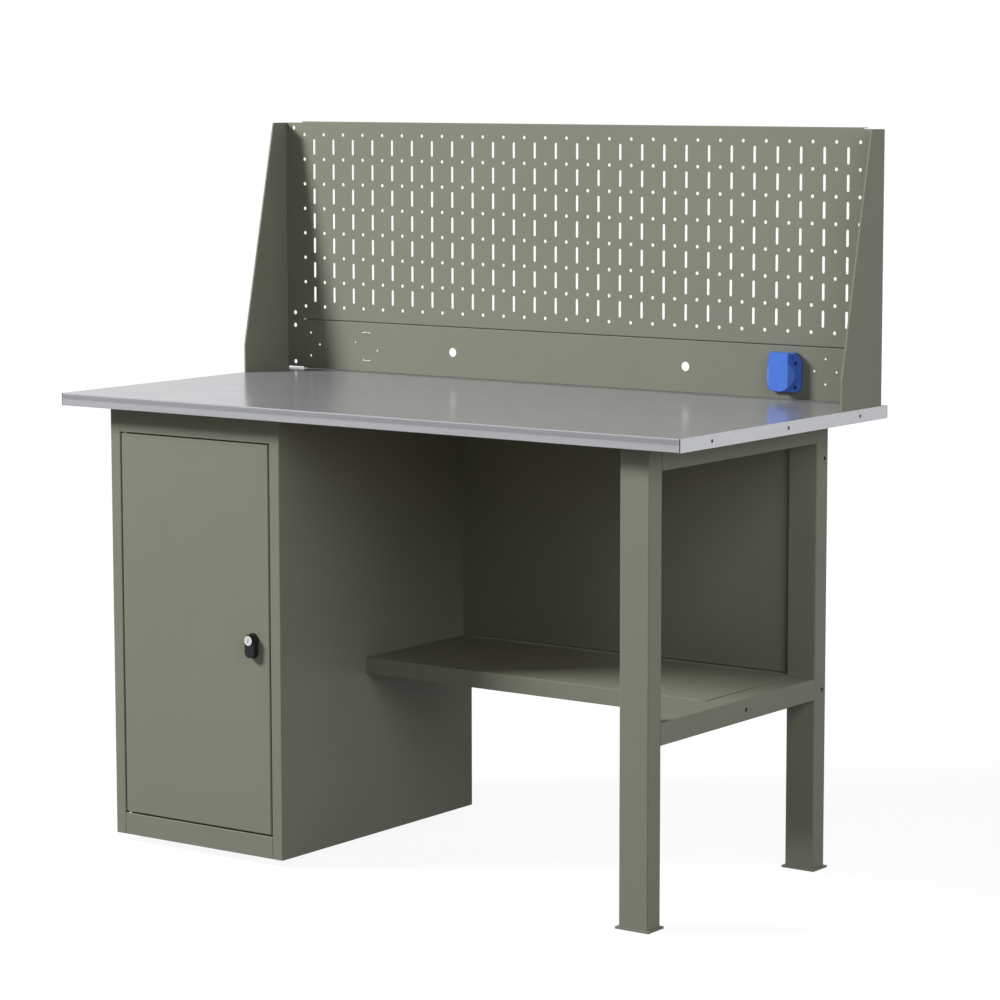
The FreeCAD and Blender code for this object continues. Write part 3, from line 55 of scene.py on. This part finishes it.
# Helpers for node trees, shared by the materials and the studio
def feed(tree, value, socket):
    """Link another node's output to a socket, or set a plain number or colour on it."""
    if isinstance(value, bpy.types.NodeSocket):
        tree.links.new(value, socket)
    else:
        socket.default_value = value


def map_range(tree, value, start, end, low, high):
    """Carry a value over from one range, start to end, to another, low to high."""
    made = tree.nodes.new("ShaderNodeMapRange")
    for socket, number in (("From Min", start), ("From Max", end), ("To Min", low), ("To Max", high)):
        made.inputs[socket].default_value = number
    tree.links.new(value, made.inputs["Value"])
    return made.outputs["Result"]


def along(tree, place, axis):
    """How far a place lies along one axis, X, Y or Z."""
    parts = tree.nodes.new("ShaderNodeSeparateXYZ")
    tree.links.new(place, parts.inputs[0])
    return parts.outputs[axis]


# Materials
def linear(red, green, blue):
    """A colour written as it looks on a screen, 0 to 255, in the renderer's linear values."""
    def one(value):
        value /= 255
        return value / 12.92 if value <= 0.04045 else ((value + 0.055) / 1.055) ** 2.4
    return (one(red), one(green), one(blue), 1)


def toned(colour, factor):
    """A colour made darker or lighter by a factor."""
    return tuple(min(1.0, factor * part) for part in colour[:3]) + (1,)


class Surface:
    """A node material with helpers for texture, colour, roughness and relief."""

    # The colour sockets of a Mix node go by number, because their names occur on it more than once
    MIX_FACTOR = 0
    MIX_COLOURS = (6, 7)
    MIX_RESULT = 2
    BEVEL_SAMPLES = 4

    def __init__(self, name, metallic=0.0, **sockets):
        self.material = bpy.data.materials.new(name)
        self.material.use_nodes = True
        self.tree = self.material.node_tree
        self.shader = self.tree.nodes["Principled BSDF"]
        self.shader.inputs["Metallic"].default_value = metallic
        for socket, value in sockets.items():
            self.shader.inputs[socket.replace("_", " ")].default_value = value
        self.place = self.add("ShaderNodeTexCoord").outputs["Object"]

    def add(self, kind, **settings):
        made = self.tree.nodes.new(kind)
        for name, value in settings.items():
            setattr(made, name, value)
        return made

    def link(self, output, target):
        self.tree.links.new(output, target)

    def stretched(self, scale):
        """The place on the surface, scaled by its own factor along each axis."""
        mapping = self.add("ShaderNodeMapping")
        mapping.inputs["Scale"].default_value = scale
        self.link(self.place, mapping.inputs["Vector"])
        return mapping.outputs["Vector"]

    def noise(self, scale, detail=2.0, rough=0.5, place=None):
        made = self.add("ShaderNodeTexNoise")
        made.inputs["Scale"].default_value = scale
        made.inputs["Detail"].default_value = detail
        made.inputs["Roughness"].default_value = rough
        self.link(place or self.place, made.inputs["Vector"])
        return made.outputs["Fac"]

    def cells(self, scale, place=None):
        made = self.add("ShaderNodeTexVoronoi")
        made.inputs["Scale"].default_value = scale
        self.link(place or self.place, made.inputs["Vector"])
        return made.outputs["Color"]

    def ranged(self, value, low, high, start=0.3, end=0.7):
        """Spread a value over a range. Noise lies mostly between the start and end that are given here."""
        return map_range(self.tree, value, start, end, low, high)

    def maths(self, operation, *values):
        """Reckon with plain numbers and the outputs of other nodes."""
        made = self.add("ShaderNodeMath", operation=operation)
        for socket, value in zip(made.inputs, values):
            feed(self.tree, value, socket)
        return made.outputs[0]

    def mixed(self, factor, first, second):
        made = self.add("ShaderNodeMix", data_type="RGBA")
        self.link(factor, made.inputs[self.MIX_FACTOR])
        for number, colour in zip(self.MIX_COLOURS, (first, second)):
            feed(self.tree, colour, made.inputs[number])
        return made.outputs[self.MIX_RESULT]

    def rounded(self, radius):
        """The direction that the surface faces, as if its edges were rounded."""
        bevel = self.add("ShaderNodeBevel", samples=self.BEVEL_SAMPLES)
        bevel.inputs["Radius"].default_value = radius
        return bevel.outputs["Normal"]

    def edge_mask(self, radius):
        """High along the outer edges, where the colour is lightened as a painted highlight."""
        flat = self.add("ShaderNodeNewGeometry")
        dot = self.add("ShaderNodeVectorMath", operation="DOT_PRODUCT")
        self.link(self.rounded(radius), dot.inputs[0])
        self.link(flat.outputs["Normal"], dot.inputs[1])
        return self.ranged(dot.outputs["Value"], low=1.0, high=0.0, start=0.8, end=0.99)

    def near_front(self, level, full, none):
        """Full up to a first distance behind a front level, and none from a second distance on."""
        back = along(self.tree, self.place, "Y")
        return self.ranged(back, low=1.0, high=0.0, start=level + full, end=level + none)

    def colour(self, output):
        self.link(output, self.shader.inputs["Base Color"])

    def roughness(self, output):
        self.link(output, self.shader.inputs["Roughness"])

    def relief(self, height, strength, distance, bevel=0.0):
        """Raise the surface by a texture, with its edges rounded by a bevel where one is given."""
        bump = self.add("ShaderNodeBump")
        bump.inputs["Strength"].default_value = strength
        bump.inputs["Distance"].default_value = distance
        self.link(height, bump.inputs["Height"])
        if bevel:
            self.link(self.rounded(bevel), bump.inputs["Normal"])
        self.link(bump.outputs["Normal"], self.shader.inputs["Normal"])

    def lean(self, start, end, depth):
        """Bend the shading back along an upright face, ever more from one level to a higher one."""
        rise = self.ranged(along(self.tree, self.place, "Z"), low=0.0, high=1.0, start=start, end=end)
        bump = self.add("ShaderNodeBump", invert=True)
        bump.inputs["Distance"].default_value = depth
        self.link(self.maths("MULTIPLY", rise, rise), bump.inputs["Height"])
        normal = self.shader.inputs["Normal"]
        self.link(normal.links[0].from_socket, bump.inputs["Normal"])
        self.link(bump.outputs["Normal"], normal)


def powder_coat(name, base, light):
    """Fine matt powder paint: even tone, slight cloudiness, grain, and a painted highlight on the edges."""
    edge_share = 0.35
    made = Surface(name, Specular_IOR_Level=0.15)
    cloud = made.ranged(made.noise(scale=5, detail=3), low=0.0, high=1.0, start=0.35, end=0.65)
    grain = made.noise(scale=1400, detail=2, rough=0.7)
    tone = made.mixed(cloud, toned(base, factor=0.96), base)
    tone = made.mixed(made.ranged(grain, low=0.0, high=0.08), tone, light)
    # Painted highlight: the colour is lightened along the outer edges
    edge_highlight = made.maths("MULTIPLY", made.edge_mask(radius=0.0011), edge_share)
    made.colour(made.mixed(edge_highlight, tone, light))
    made.roughness(made.ranged(made.noise(scale=40, detail=3), low=0.46, high=0.56))
    made.relief(grain, strength=0.12, distance=0.0003, bevel=0.0008)
    return made.material


def galvanised(name, cut_edge=None, fold=None):
    """Zinc-coated sheet: soft spangle, faint rolling streaks and blurred reflections, and a painted
    highlight on its edges. A cut edge is given by its front level, and is painted dark as the shade of the
    seam there. A
    fold is given by two levels and a depth: the shading of the sheet's lip leans back from the lower level
    up to the higher one."""
    dark = linear(200, 201, 205)
    light = linear(210, 211, 215)
    edge_highlight = linear(250, 250, 252)
    seam_shade = linear(38, 38, 40)
    spangle_share = 0.35
    made = Surface(name, metallic=0.55, Specular_IOR_Level=0.1, Specular_Tint=(0.85, 0.85, 0.85, 1))
    streak = made.noise(scale=3, detail=3, rough=0.5, place=made.stretched((0.6, 30, 30)))
    faint_streak = made.ranged(streak, low=0.0, high=0.65)
    blend = made.maths("MULTIPLY_ADD", made.cells(scale=70), spangle_share, faint_streak)
    tone = made.mixed(blend, dark, light)
    # Painted highlight: the colour is lightened towards white along the folds and edges
    tone = made.mixed(made.edge_mask(radius=0.0012), tone, edge_highlight)
    if cut_edge is not None:
        # Painted shade: the front cut edge is coloured dark, for the seam there that lies in shade
        tone = made.mixed(made.near_front(cut_edge, full=0.0007, none=0.0009), tone, seam_shade)
    made.colour(tone)
    made.roughness(made.ranged(made.noise(scale=9, detail=4, rough=0.6), low=0.15, high=0.21))
    made.relief(streak, strength=0.03, distance=0.0004, bevel=0.0015)
    if fold is not None:
        made.lean(*fold)
    return made.material


def plastic(name, base, rough, grain_scale=900, grain=0.05):
    """Moulded plastic, rubber or black lacquer: an almost even colour with a fine grain."""
    spread = 0.04
    made = Surface(name, Specular_IOR_Level=0.5)
    cloud = made.ranged(made.noise(scale=60, detail=2), low=0.0, high=1.0)
    made.colour(made.mixed(cloud, base, toned(base, factor=1.08)))
    made.roughness(made.ranged(made.noise(scale=120, detail=3), low=rough - spread, high=rough + spread))
    made.relief(made.noise(grain_scale, detail=2), strength=grain, distance=0.0002, bevel=0.0005)
    return made.material


def plated(name, base, rough, metallic=1.0, face=None):
    """Plated metal with fine turning marks, painted dark as shade behind its face, as in the keyhole."""
    keyhole_shade = linear(16, 16, 17)
    smoother = 0.04
    rougher = 0.06
    made = Surface(name, metallic=metallic)
    mark = made.noise(scale=60, detail=2, rough=0.5, place=made.stretched((1, 1, 12)))
    tone = made.mixed(made.ranged(mark, low=0.0, high=1.0), base, toned(base, factor=1.12))
    if face is not None:
        # Painted shade: behind the front face, inside the keyhole, the colour is dark
        tone = made.mixed(made.near_front(face, full=0.0002, none=0.0004), keyhole_shade, tone)
    made.colour(tone)
    made.roughness(made.ranged(made.noise(scale=200, detail=2), low=rough - smoother, high=rough + rougher))
    made.relief(mark, strength=0.04, distance=0.0002, bevel=0.0004)
    return made.material


def chipboard(name):
    """Pressed wood chips: small flat cells between two browns."""
    dark = linear(158, 124, 82)
    light = linear(196, 164, 118)
    made = Surface(name)
    chips = made.cells(scale=260, place=made.stretched((1, 1, 3)))
    made.colour(made.mixed(made.ranged(chips, low=0.0, high=1.0, start=0.1, end=0.9), dark, light))
    made.roughness(made.ranged(made.noise(scale=300, detail=3), low=0.7, high=0.85))
    made.relief(made.noise(scale=500, detail=3), strength=0.3, distance=0.0006)
    return made.material


# Dressing the CAD nodes
LIP_LEAN_HEIGHT = 0.013
LIP_LEAN_DEPTH = 0.0026


def foremost(name):
    """The front level of a node, in the coordinates that its material sees."""
    return min(vertex.co.y for vertex in nodes[name].data.vertices)


def topmost(name):
    """The top level of a node, in the coordinates that its material sees."""
    return max(vertex.co.z for vertex in nodes[name].data.vertices)


def dress(name, look):
    """Give a node one material in place of those that it came with."""
    materials = nodes[name].data.materials
    materials.clear()
    materials.append(look)


lip_top = topmost("worktop_cladding")
lip_fold = (lip_top - LIP_LEAN_HEIGHT, lip_top, LIP_LEAN_DEPTH)
plug_face = foremost("lock_plug")
looks = {
    "powder_coat": powder_coat("olive_powder_coat", base=linear(135, 137, 123), light=linear(176, 178, 166)),
    "galvanised_sheet": galvanised("folded_zinc", fold=lip_fold),
    "board_wood": chipboard("board_wood"),
    "zinc_plated_steel": plated("zinc_plated_steel", linear(188, 189, 190), rough=0.3),
    "black_screw": plastic("black_screw", linear(20, 20, 22), rough=0.5),
    "black_plastic": plastic("black_plastic", linear(26, 26, 28), rough=0.38),
    "chrome_plate": plated("keyed_chrome", linear(236, 237, 239), rough=0.2, metallic=0.3, face=plug_face),
    "pale_nylon": plastic("pale_nylon", linear(214, 213, 205), rough=0.45),
    "blue_plastic": plastic("blue_plastic", linear(84, 128, 226), rough=0.36),
    "grey_insert": plastic("grey_insert", linear(84, 86, 90), rough=0.5),
    "brass_contact": plated("brass_contact", linear(206, 176, 104), rough=0.25),
    "seal_rubber": plastic("seal_rubber", linear(30, 30, 31), rough=0.7, grain_scale=500, grain=0.1),
}
for name in nodes:
    dress(name, looks[slot_of[name]])
# The shelf pegs are welded in and painted with the cabinet, and the socket's screws are black
dress("shelf_pegs", looks["powder_coat"])
dress("socket_screws", looks["black_screw"])
# The worktop's end strips get painted shade along their front cut edge, where the seam lies
for name in ("left_end_strip", "right_end_strip"):
    dress(name, galvanised(name + "_zinc", cut_edge=foremost(name)))


# Points of holes and bends
def arc(across, up, radius, start, end, steps):
    """Points along an arc from one angle to another, with both of its ends."""
    turns = [start + (end - start) * step / steps for step in range(steps + 1)]
    return [(across + radius * math.cos(turn), up + radius * math.sin(turn)) for turn in turns]


def ring(across, up, radius, corners=28, start=0.0):
    """Points around a whole circle."""
    return arc(across, up, radius, start, start + 2 * math.pi, corners)[:-1]


def slot_ring(across, up, width, height, steps=7):
    """Points around an upright slot with round ends."""
    radius = width / 2
    rise = height / 2 - radius
    upper = arc(across, up + rise, radius, 0.0, math.pi, steps)
    lower = arc(across, up - rise, radius, math.pi, 2 * math.pi, steps)
    return upper + lower


def arc_slit(across, up, radius, start, end, width, steps=6):
    """Points around a narrow curved slit along a circle, from one angle to another."""
    outer = arc(across, up, radius + width / 2, start, end, steps)
    inner = arc(across, up, radius - width / 2, start, end, steps)
    return outer + inner[::-1]


# Holes that the record names as mounts
MM = 0.001
SMALL_HOLE_CORNERS = 16


def bore(name):
    """The hole of a mount that is a single bore."""
    across, _, up = mounts[name]["pos_m"]
    return ring(across, up, MM * mounts[name]["dims"]["r_mm"])


def bolt_corners(name):
    """The holes of a mount whose bolts stand at the corners of a rectangle."""
    across, _, up = mounts[name]["pos_m"]
    sizes = mounts[name]["dims"]
    half_width = MM * sizes["spacing_x_mm"] / 2
    half_height = MM * sizes["spacing_y_mm"] / 2
    spots = [(across + x * half_width, up + z * half_height) for x in (-1, 1) for z in (-1, 1)]
    return [ring(*spot, MM * sizes["hole_r_mm"]) for spot in spots]


def bolt_circle(name, start=0.0):
    """The holes of a mount whose bolts stand on a circle, from a first angle on."""
    across, _, up = mounts[name]["pos_m"]
    sizes = mounts[name]["dims"]
    spots = ring(across, up, MM * sizes["pcd_mm"] / 2, sizes["count"], start)
    return [ring(*spot, MM * sizes["hole_r_mm"], SMALL_HOLE_CORNERS) for spot in spots]


# Building blocks of sheet pieces, with sizes in metres
SHEET = 0.0012
WELD_DISTANCE = 1e-6
# Two settings of delaunay_2d_cdt: faces only inside the outline, and points this close count as one
INSIDE_ONLY = 1
SAME_POINT = 1e-7


def within(spot, loop):
    """Is a point inside a closed loop? Counts the loop's sides that a ray from the point crosses."""
    crossed = False
    for here, there in zip(loop, loop[1:] + loop[:1]):
        if (here[1] > spot.y) != (there[1] > spot.y):
            rise = (spot.y - here[1]) / (there[1] - here[1])
            crossed ^= spot.x < here[0] + rise * (there[0] - here[0])
    return crossed


def pierced_plate(mesh, outline, holes, front, rear, open_sides):
    """Add a flat upright plate with through holes to a bmesh. The sides of the outline whose numbers are in
    open_sides get no wall."""
    loops = [outline] + holes
    points = []
    sides = []
    loop_of = []
    for number, loop in enumerate(loops):
        first = len(points)
        points += [Vector(spot) for spot in loop]
        sides += [(first + i, first + (i + 1) % len(loop)) for i in range(len(loop))]
        loop_of += [number] * len(loop)
    flat, _, faces, _, _, _ = delaunay_2d_cdt(points, sides, [], INSIDE_ONLY, SAME_POINT)
    near = [mesh.verts.new((spot.x, front, spot.y)) for spot in flat]
    far = [mesh.verts.new((spot.x, rear, spot.y)) for spot in flat]
    for face in faces:
        owners = {loop_of[i] for i in face}
        if len(owners) == 1:
            # All corners lie on one loop, so the face may fill a hole or a notch of the outline
            number = owners.pop()
            middle = sum((flat[i] for i in face), Vector((0, 0))) / len(face)
            if within(middle, loops[number]) != (number == 0):
                continue
        mesh.faces.new([near[i] for i in face])
        mesh.faces.new([far[i] for i in reversed(face)])
    for number, (here, there) in enumerate(sides):
        if number not in open_sides:
            mesh.faces.new((near[here], far[here], far[there], near[there]))


def swept(mesh, profile, left, right, closed):
    """Sweep a profile, back and up, from left to right. If it isn't closed, its last side has no wall."""
    rows = [[mesh.verts.new((across, back, up)) for back, up in profile] for across in (left, right)]
    count = len(profile)
    for i in range(count if closed else count - 1):
        there = (i + 1) % count
        mesh.faces.new((rows[0][i], rows[0][there], rows[1][there], rows[1][i]))
    for row in rows:
        mesh.faces.new(row)


def finished(mesh, name, body, slot, node):
    """Make an object of a bmesh, in its slot, on its body and in the place of a CAD node if one is given."""
    bmesh.ops.recalc_face_normals(mesh, faces=mesh.faces)
    data = bpy.data.meshes.new(name)
    mesh.to_mesh(data)
    mesh.free()
    data.materials.append(looks[slot])
    thing = bpy.data.objects.new(name, data)
    scene.collection.objects.link(thing)
    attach(thing, body)
    if node:
        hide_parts(node)


# Sheets of the tool screen, with the round holes and slots of the real ones
BEND = 0.002
BEND_STEPS = 5
EAR_WIDTH = 0.0375
EAR_DROP = 0.0025


def folded_edge(mesh, end, front, level, side, depth):
    """The edge of a sheet turned back through a rounded bend. side is 1 at the top and -1 at the bottom."""
    centre = (front + BEND, level - side * BEND)
    turn_end = math.pi - side * math.pi / 2
    outer = arc(*centre, BEND, math.pi, turn_end, BEND_STEPS)
    inner = arc(*centre, BEND - SHEET, math.pi, turn_end, BEND_STEPS)
    rear = [(front + depth, level), (front + depth, level - side * SHEET)]
    swept(mesh, outer + rear + inner[::-1], -end, end, closed=False)


def screen_sheet(name, node, ear_holes, holes):
    """A sheet folded back along its top and bottom, with flat ears, in the place of its CAD node."""
    low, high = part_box(node)
    front = low.y
    end = high.x
    inner = end - EAR_WIDTH - EAR_DROP
    ear_low = low.z + EAR_DROP
    ear_high = high.z - EAR_DROP
    fold_low = low.z + BEND
    fold_high = high.z - BEND
    outline = [
        (-end, ear_low), (-inner, ear_low), (-inner, fold_low), (inner, fold_low),
        (inner, ear_low), (end, ear_low), (end, ear_high), (inner, ear_high),
        (inner, fold_high), (-inner, fold_high), (-inner, ear_high), (-end, ear_high),
    ]
    # The sides of the outline where the sheet goes on into its lower and upper fold
    fold_sides = (2, 8)
    mesh = bmesh.new()
    pierced_plate(mesh, outline, bolt_corners(ear_holes) + holes, front, front + SHEET, fold_sides)
    folded_edge(mesh, inner, front, high.z, side=1, depth=high.y - front)
    folded_edge(mesh, inner, front, low.z, side=-1, depth=high.y - front)
    bmesh.ops.remove_doubles(mesh, verts=mesh.verts, dist=WELD_DISTANCE)
    finished(mesh, name, "bench", "powder_coat", node)


def perforated_panel():
    """The upper sheet: a grid of round holes, with an upright slot in the middle of every four."""
    column_count = 27
    row_count = 8
    pitch = 0.05
    hole_radius = 0.0035
    hole_corners = 20
    slot_width = 0.006
    slot_height = 0.032
    low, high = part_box("perforated_panel")
    middle = (low.z + high.z) / 2
    columns = [pitch * (column - (column_count - 1) / 2) for column in range(column_count)]
    rows = [middle + pitch * (row - (row_count - 1) / 2) for row in range(row_count)]
    holes = [ring(across, up, hole_radius, hole_corners) for across in columns for up in rows]
    for across in columns[:-1]:
        for up in rows[:-1]:
            holes.append(slot_ring(across + pitch / 2, up + pitch / 2, slot_width, slot_height))
    screen_sheet("perforated_sheet", "perforated_panel", "panel_ear_holes", holes)


def spare_socket_holes():
    """The place of a second socket: four holes on a circle, and two curved slits on the same circle."""
    first_hole = math.radians(-15)
    slit_starts = (math.radians(81), math.radians(261))
    slit_sweep = math.radians(31)
    slit_width = 0.0012
    across, _, up = mounts["spare_socket_holes"]["pos_m"]
    reach = MM * mounts["spare_socket_holes"]["dims"]["pcd_mm"] / 2
    slits = [arc_slit(across, up, reach, start, start + slit_sweep, slit_width) for start in slit_starts]
    return bolt_circle("spare_socket_holes", first_hole) + slits


def socket_holes(strip_bottom):
    """The opening behind the socket and the holes of its four screws."""
    socket_across = 0.4975
    socket_rise = 0.0465
    opening_radius = 0.0266
    opening_corners = 40
    screw_across = 0.025
    screw_rise = 0.0225
    screw_radius = 0.0018
    screw_corners = 12
    up = strip_bottom + socket_rise
    holes = [ring(socket_across, up, opening_radius, opening_corners)]
    for x in (-1, 1):
        for z in (-1, 1):
            spot = (socket_across + x * screw_across, up + z * screw_rise)
            holes.append(ring(*spot, screw_radius, screw_corners))
    return holes


def socket_strip():
    """The lower sheet: holes for cables, for two holders, for the socket and for a spare one."""
    low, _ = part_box("socket_strip")
    holes = [bore("left_cable_hole"), bore("right_cable_hole")]
    holes += bolt_circle("left_holder_holes") + bolt_circle("right_holder_holes")
    holes += spare_socket_holes() + socket_holes(low.z)
    screen_sheet("socket_strip_sheet", "socket_strip", "strip_ear_holes", holes)


# The lower lip of the back panel
def back_panel_lip():
    """The back panel's lower fold, turned down behind its front so that no light shows above the shelf."""
    touch = 0.0001
    inset = 0.004
    bend_share = 1 / 3
    toe_steps = 4
    panel_low, panel_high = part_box("back_panel")
    _, shelf_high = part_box("lower_shelf")
    front = panel_low.y + inset
    lower = shelf_high.z + touch
    upper = panel_low.z - touch
    bend = (upper - lower) * bend_share
    toe = arc(front + bend, lower + bend, bend, math.pi, 1.5 * math.pi, toe_steps)
    profile = [(front, upper)] + toe + [(front + bend, lower + SHEET), (front + SHEET, upper)]
    mesh = bmesh.new()
    swept(mesh, profile, panel_low.x + SHEET, panel_high.x - SHEET, closed=True)
    finished(mesh, "back_panel_lip", "bench", "powder_coat", None)


perforated_panel()
socket_strip()
back_panel_lip()


# The studio: floor, world, lamps and camera
WHITE = (1, 1, 1, 1)


def shader(tree, kind, **sockets):
    """Add a shader whose sockets take plain values or the outputs of other nodes."""
    made = tree.nodes.new(kind)
    for name, value in sockets.items():
        feed(tree, value, made.inputs[name])
    return made.outputs[0]


def mixed_shader(tree, factor, first, second):
    made = tree.nodes.new("ShaderNodeMixShader")
    for socket, output in zip(made.inputs, (factor, first, second)):
        tree.links.new(output, socket)
    return made.outputs[0]


def by_ray(tree, kinds, chosen, others):
    """One shader for the named kinds of ray and another for all others."""
    path = tree.nodes.new("ShaderNodeLightPath")
    share = path.outputs[kinds[0]]
    for kind in kinds[1:]:
        either = tree.nodes.new("ShaderNodeMath")
        either.operation = "MAXIMUM"
        tree.links.new(share, either.inputs[0])
        tree.links.new(path.outputs[kind], either.inputs[1])
        share = either.outputs[0]
    return mixed_shader(tree, share, others, chosen)


def front_fade(tree, place, start, end, front, back):
    """One value towards the dark front of the studio and another towards its white back wall."""
    return map_range(tree, along(tree, place, "Y"), start, end, front, back)


def floor_paper():
    """White paper: bright to the camera with a soft shadow near the bench, and dimmer in what it lights."""
    look = bpy.data.materials.new("floor_paper")
    look.use_nodes = True
    tree = look.node_tree
    tree.nodes.clear()
    place = tree.nodes.new("ShaderNodeTexCoord").outputs["Object"]
    away = tree.nodes.new("ShaderNodeVectorMath")
    away.operation = "LENGTH"
    tree.links.new(place, away.inputs[0])
    shadow_share = map_range(tree, away.outputs["Value"], start=1.2, end=4.0, low=0.12, high=0.0)
    glow = shader(tree, "ShaderNodeEmission", Strength=1.05)
    pale = shader(tree, "ShaderNodeBsdfDiffuse", Color=(0.9, 0.9, 0.9, 1))
    seen = mixed_shader(tree, shadow_share, glow, pale)
    sheen = front_fade(tree, place, start=-3, end=0, front=0.55, back=1)
    mirrored = shader(tree, "ShaderNodeEmission", Strength=sheen)
    wall_light = front_fade(tree, place, start=0.4, end=2.5, front=0, back=0.4)
    bounce = shader(tree, "ShaderNodeEmission", Strength=wall_light)
    dim = shader(tree, "ShaderNodeBsdfDiffuse", Color=(0.2, 0.2, 0.2, 1))
    lit = tree.nodes.new("ShaderNodeAddShader")
    tree.links.new(dim, lit.inputs[0])
    tree.links.new(bounce, lit.inputs[1])
    indirect = by_ray(tree, ("Is Glossy Ray",), mirrored, lit.outputs[0])
    out = tree.nodes.new("ShaderNodeOutputMaterial")
    tree.links.new(by_ray(tree, ("Is Camera Ray",), seen, indirect), out.inputs["Surface"])
    return look


def make_floor():
    """A wide floor, a hair under the feet so that it shares no plane with them."""
    reach = 30
    level = -0.0003
    mesh = bpy.data.meshes.new("floor")
    corners = [(x * reach, y * reach, level) for x, y in ((-1, -1), (1, -1), (1, 1), (-1, 1))]
    mesh.from_pydata(corners, [], [(0, 1, 2, 3)])
    mesh.materials.append(floor_paper())
    floor = bpy.data.objects.new("floor", mesh)
    scene.collection.objects.link(floor)


def make_world():
    """White to the camera. In what it mirrors and lights it is dark in front and bright behind."""
    world = bpy.data.worlds.new("studio")
    scene.world = world
    world.use_nodes = True
    tree = world.node_tree
    tree.nodes.clear()
    place = tree.nodes.new("ShaderNodeTexCoord").outputs["Generated"]
    seen = shader(tree, "ShaderNodeBackground", Color=WHITE)
    sheen = front_fade(tree, place, start=-0.4, end=0.3, front=0.1, back=1)
    mirrored = shader(tree, "ShaderNodeBackground", Color=(0.8, 0.8, 0.8, 1), Strength=sheen)
    wall_light = front_fade(tree, place, start=-0.1, end=0.5, front=0.04, back=0.5)
    lit = shader(tree, "ShaderNodeBackground", Color=WHITE, Strength=wall_light)
    indirect = by_ray(tree, ("Is Glossy Ray",), mirrored, lit)
    out = tree.nodes.new("ShaderNodeOutputWorld")
    direct = ("Is Camera Ray", "Is Transmission Ray")
    tree.links.new(by_ray(tree, direct, seen, indirect), out.inputs["Surface"])


def make_light(name, place, target, size, power):
    """A round lamp that lights the bench and is itself neither seen nor mirrored."""
    lamp = bpy.data.lights.new(name, "AREA")
    lamp.shape = "DISK"
    lamp.size = size
    lamp.energy = power
    light = bpy.data.objects.new(name, lamp)
    scene.collection.objects.link(light)
    light.location = place
    aim = Vector(target) - Vector(place)
    light.rotation_euler = aim.to_track_quat("-Z", "Y").to_euler()
    light.visible_glossy = False
    light.visible_camera = False


def make_camera():
    """The photograph's camera, fitted to points of the bench that the photograph shows."""
    place = (3.7279, -5.0497, 1.4811)
    azimuth = math.radians(35.8673)
    elevation = math.radians(7.3251)
    tilt = math.radians(-0.0752)
    focal_pixels = 3374.1
    picture_pixels = 1000
    lens = bpy.data.cameras.new("camera")
    lens.sensor_width = 36
    lens.sensor_fit = "HORIZONTAL"
    lens.lens = focal_pixels / picture_pixels * lens.sensor_width
    lens.clip_end = 100
    camera = bpy.data.objects.new("camera", lens)
    scene.collection.objects.link(camera)
    turn = Matrix.Rotation(azimuth, 4, "Z")
    tip = Matrix.Rotation(math.pi / 2 - elevation, 4, "X")
    roll = Matrix.Rotation(tilt, 4, "Z")
    camera.matrix_world = Matrix.Translation(place) @ turn @ tip @ roll
    scene.camera = camera


make_floor()
make_world()
make_light("key", place=(-4.98, -3.87, 4.6), target=(0, 0, 0.7), size=1.9, power=670)
make_light("fill", place=(3.2, -1.7, 2.1), target=(0.2, 0, 0.7), size=2.4, power=52)
make_camera()
scene.view_settings.view_transform = "Standard"
